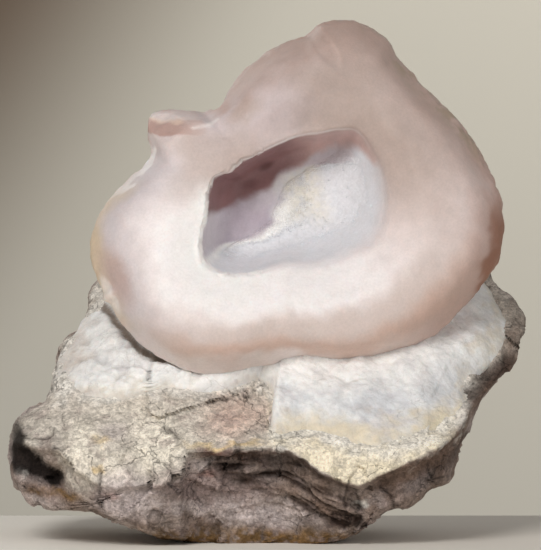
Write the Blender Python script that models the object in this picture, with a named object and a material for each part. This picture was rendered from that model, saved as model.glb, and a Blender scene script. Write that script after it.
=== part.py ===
"""A thick-lipped bowl of pink chalcedony on a loose piece of volcanic rock.

Four pieces: the rock, the pale chalcedony crust on its upper slope, the pink bowl that
grew on the crust, and the sugary quartz crust on the floor of the bowl's hollow.

+X is to the right, +Y points away from the viewer and +Z is up. The origin is on the
surface that the rock rests on, under the middle of the whole piece.
"""
import bmesh
import bpy
import numpy as np

# Sizes below are in millimetres, and MM brings them to metres
MM = 0.001

# Clear gap between pieces that touch
GAP = 0.3

# Where the whole piece stands over the origin
STAND_SHIFT = (0.21, 0.98, 0.0)

# The bowl: its middle, its lean away from the viewer and its turn to the side
BOWL_CENTRE = (4.7, 2.7, 59.0)
BOWL_LEAN = 0.27
BOWL_YAW = 0.08
BOWL_OUTLINE = [
    (10.6, 30.9), (15.4, 28.2), (17.5, 24.8), (21.5, 20.0), (28.2, 13.4), (33.3, 5.6),
    (35.9, -2.1), (35.2, -9.5), (30.6, -16.6), (23.5, -23.2), (15.9, -26.8),
    (7.5, -28.0), (2.3, -27.4), (-6.1, -28.3), (-15.4, -29.6), (-24.3, -26.2),
    (-31.3, -19.4), (-35.3, -10.6), (-35.5, -6.9), (-33.2, -0.9), (-27.6, 4.9),
    (-25.2, 7.6), (-26.3, 13.7), (-25.7, 14.5), (-19.6, 15.6), (-16.1, 15.2),
    (-12.8, 17.9), (-8.2, 23.0), (-1.2, 27.4), (1.4, 28.2), (4.9, 30.7), (7.5, 31.2),
]
MOUTH_OUTLINE = [
    (7.5, 12.3), (10.5, 11.9), (13.5, 7.4), (15.1, 0.0), (14.5, -3.9), (12.8, -7.0),
    (9.3, -8.9), (-1.2, -11.0), (-10.0, -12.6), (-13.5, -12.3), (-15.9, -10.7),
    (-16.6, -8.8), (-15.6, -2.1), (-14.4, 3.9), (-11.4, 5.4), (-4.7, 9.5), (3.2, 11.7),
]
HOLLOW_FLOOR = -1.5
CREST_HEIGHT = 12.0
BOWL_BACK = 14.0

# Scars pressed into the lip: middle, half length, half width, slope in degrees and depth
LIP_SCARS = [
    (9.5, -26.8, 14.0, 2.0, 3.0, 0.7),
    (4.5, 27.0, 5.0, 1.6, 125.0, 0.5),
    (18.5, 24.5, 1.8, 1.0, -60.0, 0.8),
]

# Flat breaks on the bowl: a point, the outward direction, how far each reaches and how
# softly it starts. The first is at the lower left, the others make the upper left corner
BOWL_BREAKS = [
    ((-24.0, -14.4, 43.8), (-0.66, -0.74, -0.10), 12.0, 0.8),
    ((-21.4, 1.0, 70.0), (-0.98, 0.18, 0.05), 7.0, 0.15),
    ((-15.0, 6.0, 74.2), (0.05, 0.2, 0.98), 9.0, 0.3),
    ((-15.0, -4.1, 72.0), (-0.38, -0.6, 0.75), 10.0, 0.15),
]

# Values round the bowl, as pairs of a turn in degrees and a value
RIM_SHARPNESS = [(-60, 0.15), (-20, 0.0), (30, 0.05), (62, 0.8), (100, 1.0), (205, 1.0),
                 (235, 0.6), (270, 0.4)]
EDGE_OVERHANG = [(-60, 0.2), (0, 0.0), (90, 0.0), (150, 0.3), (190, 0.9), (245, 1.0),
                 (275, 0.5)]
CREST_RISE = [(-30, 0.3), (60, 0.6), (85, 1.2), (120, -0.4), (150, -1.4), (200, 0.2),
              (270, 0.3)]
RIM_LIFT = [(0, 0.0), (90, 0.0), (155, 0.0), (190, 0.9), (230, 0.7), (270, 0.2)]

# The rock: the middle that its outline turns about, and the outline seen from the front
ROCK_CENTRE = (0.0, 18.7)
ROCK_OUTLINE = [
    (-31.3, 24.5), (-32.5, 20.1), (-33.3, 17.5), (-36.4, 14.9), (-37.8, 10.5),
    (-39.0, 5.4), (-43.4, 2.6), (-45.0, -1.4), (-45.0, -7.0), (-42.4, -11.5),
    (-38.5, -13.1), (-34.1, -12.6), (-27.1, -14.4), (-22.8, -16.1), (-12.3, -18.9),
    (-9.6, -19.6), (8.0, -19.6), (15.8, -16.4), (20.1, -13.1), (25.4, -11.7),
    (28.0, -9.1), (31.5, -7.9), (32.4, -4.4), (35.0, 0.9), (37.6, 6.1), (40.3, 8.8),
    (42.9, 11.4), (44.1, 14.9), (45.0, 19.3), (42.9, 22.4), (40.3, 24.5), (38.5, 28.0),
    (20.0, 27.5), (0.0, 26.5), (-16.0, 26.0),
]
LEDGE_LINE = [
    (-45.0, 17.3), (-36.8, 17.0), (-34.0, 14.3), (-28.0, 10.9), (-15.5, 11.4),
    (-14.0, 16.4), (-5.0, 16.6), (1.8, 17.0), (5.3, 15.6), (8.8, 13.2), (11.4, 12.2),
    (14.0, 11.2), (15.6, 11.0), (17.2, 11.8), (19.3, 12.8), (25.7, 15.6), (32.2, 19.4),
    (35.0, 24.0), (45.0, 31.0),
]
LEDGE_DROP = [(-45.0, 1.5), (-28.0, 1.2), (-15.0, 1.6), (-12.0, 3.6), (0.0, 4.8),
              (12.0, 4.0), (20.0, 2.0), (30.0, 2.4), (45.0, 2.0)]
LEDGE_FRONT = -24.0
SLOPE_FOOT = 17.0
SLOPE_RUN = 1.46
FOOT_RUN = 0.45
UNDER_RUN = 0.27
TOP_START = 38.0
TOP_ROUNDING = 0.02
SIDE_START = 26.0
SIDE_RUN = 0.25
ROCK_BACK = 20.5
TOP_BACK = 2.5

# Pits in the rock's front: middle, half length, half width, slope in degrees and depth
ROCK_PITS = [
    (-41.8, 14.4, 6.8, 2.7, -48.0, 4.5),
    (38.0, 28.0, 4.4, 1.6, 40.0, 1.8),
]

# The pale crust: the middle that its outline turns about, and its outline on the slope
CRUST_CENTRE = (3.5, 34.5)
CRUST_OUTLINE = [
    (-40.3, -2.1), (-39.9, -6.1), (-35.9, -9.1), (-29.8, -9.6), (-22.8, -8.4),
    (-15.8, -8.8), (-9.6, -7.9), (-5.4, -6.7), (-3.9, -7.9), (-2.9, -10.6),
    (-3.5, -12.8), (-2.8, -15.8), (1.8, -15.2), (7.0, -15.8), (11.4, -16.6),
    (17.2, -17.4), (22.2, -15.6), (27.0, -13.6), (30.2, -11.4), (31.6, -7.4),
    (34.2, -4.8), (37.0, -1.4), (38.2, 3.5), (37.2, 7.0), (34.0, 10.5), (16.5, 10.2),
    (-3.5, 9.6), (-18.5, 9.0), (-32.5, 8.0), (-36.1, 4.4),
]

# The sugary crust in the hollow, outlined about a middle of its own in the bowl
DRUSE_CENTRE = (3.0, -1.5)
DRUSE_OUTLINE = [
    (-17.5, -8.7), (-15.1, -6.5), (-11.6, -4.7), (-8.4, -2.2), (-7.4, 0.6), (-6.0, 3.6),
    (-3.2, 6.1), (0.2, 8.0), (3.1, 9.9), (6.3, 10.3), (8.4, 8.5), (10.1, 5.4),
    (11.2, 1.5), (10.8, -2.4), (8.4, -4.5), (3.7, -6.0), (-1.6, -7.3), (-6.9, -8.7),
    (-12.1, -10.1), (-15.6, -10.4),
]


# Curves and patterns
def mix(low, high, share):
    """The value that lies the given share of the way from low to high."""
    return low + (high - low) * share


def eased(value, start, end):
    """0 before start, 1 after end, and an even S-curve between."""
    share = np.clip((value - start) / (end - start), 0.0, 1.0)
    return share * share * (3.0 - 2.0 * share)


def limited_cubic(knots, values, where):
    """A cubic curve through set values, with slopes that never overshoot them."""
    gaps = np.diff(knots)
    rises = np.diff(values) / gaps
    before = rises[:-1]
    after = rises[1:]
    total = np.where(before + after == 0.0, 1.0, before + after)
    slopes = np.zeros_like(values)
    slopes[1:-1] = np.where(before * after > 0.0, 2.0 * before * after / total, 0.0)
    left = np.clip(np.searchsorted(knots, where) - 1, 0, len(gaps) - 1)
    gap = gaps[left]
    share = np.clip((where - knots[left]) / gap, 0.0, 1.0)
    rest = 1.0 - share
    return (values[left] * rest * rest * (1.0 + 2.0 * share)
            + values[left + 1] * share * share * (3.0 - 2.0 * share)
            + slopes[left] * gap * share * rest * rest
            - slopes[left + 1] * gap * share * share * rest)


def round_value(pairs, turns):
    """A value that changes round a full turn, through (degrees, value) pairs."""
    table = np.array(sorted((degrees % 360.0, value) for degrees, value in pairs))
    knots = np.concatenate([table[-2:, 0] - 360.0, table[:, 0], table[:2, 0] + 360.0])
    values = np.concatenate([table[-2:, 1], table[:, 1], table[:2, 1]])
    return limited_cubic(knots, values, np.degrees(turns) % 360.0)


def reach(outline, turns):
    """The distance from an outline's middle to its edge at each turn."""
    pairs = [(np.degrees(np.arctan2(up, side)), np.hypot(side, up)) for side, up in outline]
    return round_value(pairs, turns)


def line_value(pairs, where):
    """A value along a line, through (place, value) pairs."""
    table = np.array(pairs)
    return limited_cubic(table[:, 0], table[:, 1], where)


def places(*runs):
    """Places along a list of rings, from (ring, steps to it) pairs, evenly spread between."""
    spots = [0.0]
    for ring, steps in runs:
        spots.extend(np.linspace(spots[-1], ring, steps + 1)[1:])
    return np.array(spots)


def through_rings(rings, where):
    """Smooth curves through a list of rings, read at the given places."""
    rings = np.array(rings)
    left = np.minimum(where.astype(int), len(rings) - 2)
    share = (where - left).reshape(-1, *([1] * (rings.ndim - 1)))
    one = rings[np.maximum(left - 1, 0)]
    two = rings[left]
    three = rings[left + 1]
    four = rings[np.minimum(left + 2, len(rings) - 1)]
    return two + 0.5 * share * (three - one + share * (
        2.0 * one - 5.0 * two + 4.0 * three - four
        + share * (3.0 * (two - three) + four - one)))


def chance(corner, seed):
    """A repeatable number from 0 to 1 for each whole-numbered corner of a lattice."""
    mixed = (corner[..., 0] * 374761393 + corner[..., 1] * 668265263
             + corner[..., 2] * 1274126177 + seed * 974634777)
    mixed = (mixed ^ (mixed >> 13)) * 1103515245
    mixed = mixed ^ (mixed >> 16)
    return (mixed & 0xFFFF) / 65535.0


def drift(points, size, seed):
    """Smooth noise from -1 to 1 with lumps about one size wide."""
    scaled = points / size
    low = np.floor(scaled).astype(np.int64)
    part = scaled - low
    ease = part * part * (3.0 - 2.0 * part)
    total = np.zeros(points.shape[:-1])
    for corner in np.ndindex(2, 2, 2):
        weight = np.where(np.array(corner) == 1, ease, 1.0 - ease).prod(axis=-1)
        total += weight * chance(low + np.array(corner), seed)
    return 2.0 * total - 1.0


def layered(points, size, count, seed):
    """Drift in several layers, each half the size and just over half the strength."""
    total = np.zeros(points.shape[:-1])
    for layer in range(count):
        total += drift(points, size / 2.0 ** layer, seed + layer) * 0.55 ** layer
    return total


def nearest_cell(points, size, seed):
    """The offset to the nearest scattered point of a lattice, and that point's corner."""
    scaled = points / size
    low = np.floor(scaled).astype(np.int64)
    best = np.full(points.shape[:-1], 9.0)
    offset = np.zeros(points.shape)
    owner = np.zeros(points.shape, dtype=np.int64)
    for step in np.ndindex(3, 3, 3):
        corner = low + np.array(step) - 1
        spot = corner + np.stack([chance(corner, seed + axis) for axis in range(3)], axis=-1)
        away = scaled - spot
        distance = (away * away).sum(axis=-1)
        closer = distance < best
        best = np.where(closer, distance, best)
        offset = np.where(closer[..., None], away, offset)
        owner = np.where(closer[..., None], corner, owner)
    return best, offset, owner


def knobs(points, size, seed):
    """Rounded knobs: 1 on top of each, falling to 0 in the grooves between them."""
    best, _, _ = nearest_cell(points, size, seed)
    return 1.0 - np.minimum(best, 1.0)


def broken(points, size, seed):
    """Broken facets: each cell of the lattice is a plane with a tilt of its own."""
    _, offset, owner = nearest_cell(points, size, seed)
    tilt = np.stack([chance(owner, seed + 11 + axis) for axis in range(3)], axis=-1)
    return (offset * (2.0 * tilt - 1.0)).sum(axis=-1)


# Surfaces, as grids of points: one row for each ring, one column for each turn
def full_turn(count):
    """Evenly spread turn angles, without the last one that meets the first."""
    return np.linspace(0.0, 2.0 * np.pi, count, endpoint=False)


def outward(grid):
    """Unit normals of a grid of rings that runs from a front pole to a back pole."""
    along = np.gradient(grid, axis=0)
    around = np.roll(grid, -1, axis=1) - np.roll(grid, 1, axis=1)
    normal = np.cross(along, around)
    length = np.linalg.norm(normal, axis=-1, keepdims=True)
    normal = normal / np.where(length == 0.0, 1.0, length)
    normal[0] = normal[1].mean(axis=0)
    normal[-1] = normal[-2].mean(axis=0)
    return normal


def pressed(across, up, scars, inner=0.6, outer=1.1):
    """How deep the listed scars are at each place: flat in the middle, eased at the edge."""
    depth = np.zeros(np.broadcast(across, up).shape)
    for middle_across, middle_up, half_length, half_width, slope, deep in scars:
        lean = np.radians(slope)
        along = (across - middle_across) * np.cos(lean) + (up - middle_up) * np.sin(lean)
        beside = (up - middle_up) * np.cos(lean) - (across - middle_across) * np.sin(lean)
        away = np.hypot(along / half_length, beside / half_width)
        depth = depth + deep * (1.0 - eased(away, inner, outer))
    return depth


def sliced(grid, breaks):
    """Push what stands beyond each break's plane back to it, and a little further."""
    for point, direction, far, soft in breaks:
        direction = np.array(direction) / np.linalg.norm(direction)
        near = 1.0 - eased(np.linalg.norm(grid - np.array(point), axis=-1), 0.7 * far, far)
        over = (grid - np.array(point)) @ direction + 0.1 * layered(grid, 4.0, 3, 301)
        over = 0.5 * (over + np.hypot(over, soft)) * near * eased(over, -2.0, 0.0)
        grid = grid - (1.05 * over)[..., None] * direction
    return grid


def bowl_rings(turns):
    """The rings of the bowl as radius and height, from the hollow's floor to the back."""
    mouth = reach(MOUTH_OUTLINE, turns)
    rim = reach(BOWL_OUTLINE, turns)
    lip = rim - mouth
    sharp = round_value(RIM_SHARPNESS, turns)
    over = round_value(EDGE_OVERHANG, turns)
    crest = CREST_HEIGHT + round_value(CREST_RISE, turns)
    lift = round_value(RIM_LIFT, turns)
    floor = HOLLOW_FLOOR + 0.0 * turns
    rings = [
        (0.0 * turns, floor),
        (0.40 * mouth, floor + 0.2),
        (mix(0.70, 0.74, sharp) * mouth, floor + mix(2.6, 0.8, sharp)),
        (mix(0.88, 0.90, sharp) * mouth, mix(4.6, 4.6, sharp)),
        (mouth, mix(7.6, 10.2, sharp) + lift),
        (mouth + 0.10 * lip, mix(9.9, 11.3, sharp) + 0.5 * lift),
        (mouth + 0.42 * lip, crest),
        (mouth + 0.77 * lip, 0.86 * crest),
        (mix(0.975, 0.985, over) * rim, mix(0.40, 0.46, over) * crest),
        (rim, mix(0.0, 2.6, over)),
        (mix(0.965, 0.90, over) * rim, mix(-0.42, -0.06, over) * BOWL_BACK),
        (mix(0.80, 0.72, over) * rim, mix(-0.80, -0.50, over) * BOWL_BACK),
        (0.45 * rim, mix(-0.97, -0.88, over) * BOWL_BACK),
        (0.0 * turns, -BOWL_BACK + 0.0 * turns),
    ]
    return [np.stack(ring, axis=-1) for ring in rings]


def bowl_depth(side, up, height):
    """How far back a point of the bowl is, from its place on the face and its height."""
    return BOWL_CENTRE[1] + BOWL_LEAN * up + BOWL_YAW * side - height


def bowl_surface(turns, where):
    """The pink bowl: smooth lip and hollow in front, knobs on its sides and back."""
    rings = through_rings(bowl_rings(turns), where)
    side = rings[..., 0] * np.cos(turns)
    up = rings[..., 0] * np.sin(turns)
    front = 1.0 - eased(where, 8.6, 9.2)[:, None]
    height = rings[..., 1] - front * pressed(side, up, LIP_SCARS, 0.75, 1.05)
    grid = np.stack([BOWL_CENTRE[0] + side, bowl_depth(side, up, height),
                     BOWL_CENTRE[2] + up], axis=-1)
    rough = eased(where, 7.8, 10.0)[:, None]
    swell = 2.4 * (knobs(grid, 10.0, 21) - 0.45) + 0.7 * (knobs(grid, 5.0, 31) - 0.5)
    widest = np.exp(-((where - 9.2) / 1.3) ** 2)[:, None]
    swell = np.where(swell > 0.0, swell * (1.0 - 0.85 * widest), swell * (1.0 - 0.4 * widest))
    gentle = 0.35 * drift(grid, 14.0, 41) * (1.0 - widest)
    grid = grid + outward(grid) * (rough * swell + gentle)[..., None]
    return sliced(grid, BOWL_BREAKS)


def hollow_height(side, up):
    """Height of the hollow's skin under a place on the face of the bowl."""
    turns = np.arctan2(up, side)
    rings = through_rings(bowl_rings(turns)[:6], places((5.0, 60)))
    radius = rings[..., 0]
    height = rings[..., 1]
    wanted = np.hypot(side, up)
    upper = np.maximum(np.argmax(radius > wanted, axis=0), 1)[None]
    near = np.take_along_axis(radius, upper - 1, axis=0)[0]
    far = np.take_along_axis(radius, upper, axis=0)[0]
    low = np.take_along_axis(height, upper - 1, axis=0)[0]
    high = np.take_along_axis(height, upper, axis=0)[0]
    return low + (high - low) * (wanted - near) / (far - near)


def lens_shares(count):
    """Shares of an outline from the middle out over the top, then back in underneath."""
    out = np.linspace(0.0, 1.0, count) ** 0.8
    share = np.concatenate([out, out[::-1][1:]])[:, None]
    on_top = (np.arange(len(share)) < count)[:, None]
    return share, on_top


def druse_surface(turns, count):
    """The sugary crust: a lining on the hollow's floor, with a ridge that slants across."""
    edge = reach(DRUSE_OUTLINE, turns)
    share, on_top = lens_shares(count)
    side = DRUSE_CENTRE[0] + share * edge * np.cos(turns)
    up = DRUSE_CENTRE[1] + share * edge * np.sin(turns)
    skin = hollow_height(side, up)
    across = (side * 110.0 - up * 136.0) / 175.0 + 2.6
    ridge = 1.0 * np.exp(-(across / 3.2) ** 2)
    spot = np.stack([side, up, 0.0 * side], axis=-1)
    crystals = 0.7 * knobs(spot, 3.0, 51)
    top = skin + mix(0.6 + ridge + crystals, -0.8, share ** 6)
    height = np.where(on_top, top, skin - 2.0)
    return np.stack([BOWL_CENTRE[0] + side, bowl_depth(side, up, height),
                     BOWL_CENTRE[2] + up], axis=-1)


def rock_front(across, up, chipped=1.0):
    """How far back the rock's front skin is: an upper slope, a ledge and a lower face.

    The chips are facets on it, at full strength on bare rock and weaker under the crust.
    """
    ledge = line_value(LEDGE_LINE, across)
    drop = line_value(LEDGE_DROP, across)

    def slope(level):
        """The upper slope, steeper at its foot and rounded over at its top."""
        run = np.where(level > SLOPE_FOOT, SLOPE_RUN, FOOT_RUN)
        return (LEDGE_FRONT + run * (level - SLOPE_FOOT)
                - TOP_ROUNDING * np.maximum(level - TOP_START, 0.0) ** 2)

    under = slope(ledge) + drop + UNDER_RUN * (ledge - up)
    turned_back = SIDE_RUN * np.maximum(np.abs(across) - SIDE_START, 0.0)
    spot = np.stack([across, 0.0 * across, up], axis=-1)
    chips = 1.5 * broken(spot, 12.0, 61) + 0.5 * drift(spot, 6.0, 71)
    chips = chips * (1.0 - 0.8 * eased(up, 32.0, 44.0))
    return (mix(slope(up), under, eased(ledge - up, 0.0, 1.4)) + turned_back
            + pressed(across, up, ROCK_PITS) - chipped * chips)


def rock_surface(turns, where):
    """The rock: front skin, broken side walls and rough back."""
    edge = reach(ROCK_OUTLINE, turns)
    profile = [(0.0, 0.0), (0.3, 0.0), (0.6, 0.0), (0.8, 0.0), (0.96, 0.02), (1.0, 0.2),
               (0.99, 0.5), (0.95, 0.82), (0.85, 1.0), (0.5, 1.0), (0.0, 1.0)]
    rings = through_rings(profile, where)
    share = rings[:, :1]
    run = np.clip(rings[:, 1:], 0.0, 1.0)
    across = ROCK_CENTRE[0] + share * edge * np.cos(turns)
    up = ROCK_CENTRE[1] + share * edge * np.sin(turns)
    front = rock_front(across, up)
    back = ROCK_BACK + TOP_BACK * eased(up, 20.0, 46.0) + 1.0 - share
    grid = np.stack([across, mix(front, back, run), up], axis=-1)
    chips = 2.2 * broken(grid, 15.0, 65) + 0.7 * drift(grid, 6.0, 75)
    thin = eased(back - front, 4.0, 16.0)
    chips = chips * eased(run, 0.1, 0.5) * mix(0.15, 1.0, thin)
    wall = eased(run, 0.1, 0.3) * (1.0 - eased(run, 0.9, 1.0))
    chips = np.where(chips > 0.0, chips * (1.0 - 0.85 * wall), chips)
    chips[-1] = chips[-1].mean()
    return grid + outward(grid) * chips[..., None]


def crust_surface(turns, count):
    """The pale crust: a lumpy layer on the slope whose edge dives into the rock."""
    edge = reach(CRUST_OUTLINE, turns)
    share, on_top = lens_shares(count)
    across = CRUST_CENTRE[0] + share * edge * np.cos(turns)
    up = CRUST_CENTRE[1] + share * edge * np.sin(turns)
    spot = np.stack([across, rock_front(across, up, 0.4), up], axis=-1)
    shade = np.exp(-((across + 24.0) / 9.0) ** 2 - ((up - 35.0) / 8.0) ** 2)
    middle = 2.1 + 1.1 * eased(across, -14.0, 2.0) - 0.6 * shade
    lumps = 1.3 * (knobs(spot, 7.0, 81) - 0.4)
    taper = share ** mix(8.0, 4.0, eased(across, -5.0, 3.0))
    top = mix(middle + lumps, -1.0, taper)
    lift = np.where(on_top, top, -3.5)
    return spot + lift[..., None] * np.array([0.0, -0.56, 0.83])


# Blender objects
def clear_scene():
    """Remove what the scene holds."""
    for item in list(bpy.data.objects):
        bpy.data.objects.remove(item, do_unlink=True)


def stone(name, colour, roughness, glow_depth):
    """A stone finish: its colour, its roughness and how far light sinks into it."""
    finish = bpy.data.materials.new(name)
    finish.use_nodes = True
    shader = finish.node_tree.nodes["Principled BSDF"]
    shader.inputs["Base Color"].default_value = (*colour, 1.0)
    shader.inputs["Roughness"].default_value = roughness
    shader.inputs["Metallic"].default_value = 0.0
    shader.inputs["Subsurface Weight"].default_value = glow_depth
    shader.inputs["Subsurface Scale"].default_value = 2.0 * MM
    finish.diffuse_color = (*colour, 1.0)
    return finish


def ringed_object(name, grid, finish=None):
    """A closed mesh from rings of points, the first and last ring drawn in to poles."""
    shape = bmesh.new()
    points = (grid + np.array(STAND_SHIFT)) * MM
    front = shape.verts.new(points[0].mean(axis=0))
    back = shape.verts.new(points[-1].mean(axis=0))
    loops = [[shape.verts.new(point) for point in ring] for ring in points[1:-1]]
    count = grid.shape[1]
    for near, far in zip(loops[:-1], loops[1:]):
        for here in range(count):
            ahead = (here + 1) % count
            shape.faces.new((near[here], far[here], far[ahead]))
            shape.faces.new((near[here], far[ahead], near[ahead]))
    for here in range(count):
        ahead = (here + 1) % count
        shape.faces.new((front, loops[0][here], loops[0][ahead]))
        shape.faces.new((back, loops[-1][ahead], loops[-1][here]))
    mesh = bpy.data.meshes.new(name)
    shape.to_mesh(mesh)
    shape.free()
    mesh.shade_smooth()
    item = bpy.data.objects.new(name, mesh)
    bpy.context.scene.collection.objects.link(item)
    if finish is not None:
        mesh.materials.append(finish)
    return item


def cutter(name, grid):
    """A guide of a piece's own form, swollen by the gap, that cuts its neighbours."""
    guide = ringed_object(name, grid)
    swell = guide.modifiers.new("gap", "DISPLACE")
    swell.strength = GAP * MM
    swell.mid_level = 0.0
    guide.hide_render = True
    guide.display_type = "WIRE"
    return guide


def cut_by(item, guide):
    """Cut a guide's form out of a piece."""
    cut = item.modifiers.new(guide.name, "BOOLEAN")
    cut.operation = "DIFFERENCE"
    cut.solver = "EXACT"
    cut.object = guide


def settle(item):
    """Fix a piece's cuts in its mesh and keep its largest body."""
    graph = bpy.context.evaluated_depsgraph_get()
    mesh = bpy.data.meshes.new_from_object(item.evaluated_get(graph))
    item.modifiers.clear()
    item.data = mesh
    shape = bmesh.new()
    shape.from_mesh(mesh)
    bodies = []
    waiting = set(shape.verts)
    while waiting:
        body = {waiting.pop()}
        edge_of_body = list(body)
        while edge_of_body:
            spot = edge_of_body.pop()
            near = [edge.other_vert(spot) for edge in spot.link_edges]
            fresh = [vert for vert in near if vert not in body]
            body.update(fresh)
            edge_of_body.extend(fresh)
        waiting -= body
        bodies.append(body)
    bodies.sort(key=len)
    for body in bodies[:-1]:
        bmesh.ops.delete(shape, geom=list(body), context="VERTS")
    shape.to_mesh(mesh)
    shape.free()


def trim_flat(item):
    """Trim a piece flat where it rests, at a height of zero."""
    shape = bmesh.new()
    shape.from_mesh(item.data)
    everything = shape.verts[:] + shape.edges[:] + shape.faces[:]
    cut = bmesh.ops.bisect_plane(shape, geom=everything, plane_co=(0.0, 0.0, 0.0),
                                 plane_no=(0.0, 0.0, 1.0), clear_inner=True)
    rim = [edge for edge in cut["geom_cut"] if isinstance(edge, bmesh.types.BMEdge)]
    for base in bmesh.ops.edgeloop_fill(shape, edges=rim)["faces"]:
        base.normal_update()
        if base.normal.z > 0.0:
            base.normal_flip()
    shape.to_mesh(item.data)
    shape.free()


def build():
    """Make the four pieces and cut each clear of what carries it."""
    clear_scene()
    rock_finish = stone("grey_brown_rock", (0.30, 0.25, 0.22), 0.9, 0.0)
    crust_finish = stone("pale_chalcedony", (0.72, 0.71, 0.68), 0.45, 0.2)
    bowl_finish = stone("pink_chalcedony", (0.74, 0.55, 0.51), 0.38, 0.3)
    druse_finish = stone("sugary_quartz", (0.74, 0.74, 0.73), 0.5, 0.2)

    rock_grid = rock_surface(full_turn(76), places((4.0, 13), (8.0, 7), (10.0, 4)))
    bowl_grid = bowl_surface(full_turn(60), places((4.0, 7), (9.0, 10), (13.0, 7)))
    rock = ringed_object("matrix", rock_grid, rock_finish)
    bowl = ringed_object("pink_bowl", bowl_grid, bowl_finish)
    crust = ringed_object("pale_crust", crust_surface(full_turn(54), 9), crust_finish)
    druse = ringed_object("hollow_druse", druse_surface(full_turn(30), 6), druse_finish)

    rock_guide = cutter("rock_guide", rock_grid)
    bowl_guide = cutter("bowl_guide", bowl_grid)
    cut_by(bowl, rock_guide)
    cut_by(crust, rock_guide)
    cut_by(crust, bowl_guide)
    cut_by(druse, bowl_guide)
    for item in (bowl, crust, druse):
        settle(item)
    trim_flat(rock)


build()
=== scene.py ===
# %% [markdown]
# # A bowl of pink chalcedony on rough rock
#
# The real piece grew in a gas pocket of volcanic rock. Silica first laid a pale, lumpy
# skin on the rock, then a thick-lipped pink bowl, and last a sugar of tiny quartz
# crystals in the bowl's hollow. Each of the four is one mesh here, worked out with numpy
# as a grid of rings and turns, and each gets a finish of its own.
#
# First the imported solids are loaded. They give the true size and the frame.

import bpy
import numpy as np
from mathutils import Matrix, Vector


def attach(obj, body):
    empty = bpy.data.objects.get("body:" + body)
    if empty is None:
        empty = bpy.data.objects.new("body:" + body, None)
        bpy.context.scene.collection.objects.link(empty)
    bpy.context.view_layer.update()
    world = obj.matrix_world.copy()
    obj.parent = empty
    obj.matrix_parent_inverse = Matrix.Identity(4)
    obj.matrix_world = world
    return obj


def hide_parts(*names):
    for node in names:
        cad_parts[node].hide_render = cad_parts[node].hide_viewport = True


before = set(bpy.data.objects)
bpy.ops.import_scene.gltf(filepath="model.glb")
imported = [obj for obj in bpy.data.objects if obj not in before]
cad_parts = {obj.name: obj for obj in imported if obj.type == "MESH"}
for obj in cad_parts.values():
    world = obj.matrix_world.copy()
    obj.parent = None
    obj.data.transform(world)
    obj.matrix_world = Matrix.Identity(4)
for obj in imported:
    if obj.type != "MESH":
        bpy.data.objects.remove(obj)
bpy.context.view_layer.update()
MM = 0.001

# %% [markdown]
# ## Curves
#
# A natural outline is easiest to hold as a few listed points round a middle. A plain
# spline through them swings past its points and bulges where the stone doesn't, so the
# curve here takes slopes that never overshoot. Every helper works on whole arrays, so a
# surface of a hundred thousand points takes a moment.

# %% Curves through set values
def mix(low, high, share):
    """The value that lies the given share of the way from low to high."""
    return low + (high - low) * share


def eased(value, start, end):
    """0 before start, 1 after end, and an even S-curve between."""
    share = np.clip((value - start) / (end - start), 0.0, 1.0)
    return share * share * (3.0 - 2.0 * share)


def limited_cubic(knots, values, where):
    """A cubic curve through set values, with slopes that never overshoot them."""
    gaps = np.diff(knots)
    rises = np.diff(values) / gaps
    before = rises[:-1]
    after = rises[1:]
    total = np.where(before + after == 0.0, 1.0, before + after)
    slopes = np.zeros_like(values)
    slopes[1:-1] = np.where(before * after > 0.0, 2.0 * before * after / total, 0.0)
    left = np.clip(np.searchsorted(knots, where) - 1, 0, len(gaps) - 1)
    gap = gaps[left]
    share = np.clip((where - knots[left]) / gap, 0.0, 1.0)
    rest = 1.0 - share
    return (values[left] * rest * rest * (1.0 + 2.0 * share)
            + values[left + 1] * share * share * (3.0 - 2.0 * share)
            + slopes[left] * gap * share * rest * rest
            - slopes[left + 1] * gap * share * share * rest)


def round_value(pairs, turns):
    """A value that changes round a full turn, through (degrees, value) pairs."""
    table = np.array(sorted((degrees % 360.0, value) for degrees, value in pairs))
    knots = np.concatenate([table[-2:, 0] - 360.0, table[:, 0], table[:2, 0] + 360.0])
    values = np.concatenate([table[-2:, 1], table[:, 1], table[:2, 1]])
    return limited_cubic(knots, values, np.degrees(turns) % 360.0)


def reach(outline, turns):
    """The distance from an outline's middle to its edge at each turn."""
    pairs = [(np.degrees(np.arctan2(up, side)), np.hypot(side, up)) for side, up in outline]
    return round_value(pairs, turns)


print("an eased ramp:", eased(np.linspace(0.0, 1.0, 5), 0.0, 1.0).round(2))
print("a value through (0, 1) and (180, 2) at a quarter turn:",
      round_value([(0, 1.0), (180, 2.0)], np.array([np.pi / 2.0])).round(2))

# %% Lines, turns and rings
def line_value(pairs, where):
    """A value along a line, through (place, value) pairs."""
    table = np.array(pairs)
    return limited_cubic(table[:, 0], table[:, 1], where)


def full_turn(count):
    """Evenly spread turn angles, without the last one that meets the first."""
    return np.linspace(0.0, 2.0 * np.pi, count, endpoint=False)


def places(*runs):
    """Places along a list of rings, from (ring, steps to it) pairs, evenly spread between."""
    spots = [0.0]
    for ring, steps in runs:
        spots.extend(np.linspace(spots[-1], ring, steps + 1)[1:])
    return np.array(spots)


def through_rings(rings, where):
    """Smooth curves through a list of rings, read at the given places."""
    rings = np.array(rings)
    left = np.minimum(where.astype(int), len(rings) - 2)
    share = (where - left).reshape(-1, *([1] * (rings.ndim - 1)))
    one = rings[np.maximum(left - 1, 0)]
    two = rings[left]
    three = rings[left + 1]
    four = rings[np.minimum(left + 2, len(rings) - 1)]
    return two + 0.5 * share * (three - one + share * (
        2.0 * one - 5.0 * two + 4.0 * three - four
        + share * (3.0 * (two - three) + four - one)))


print("places along three rings:", places((1.0, 2), (2.0, 4)))

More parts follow.
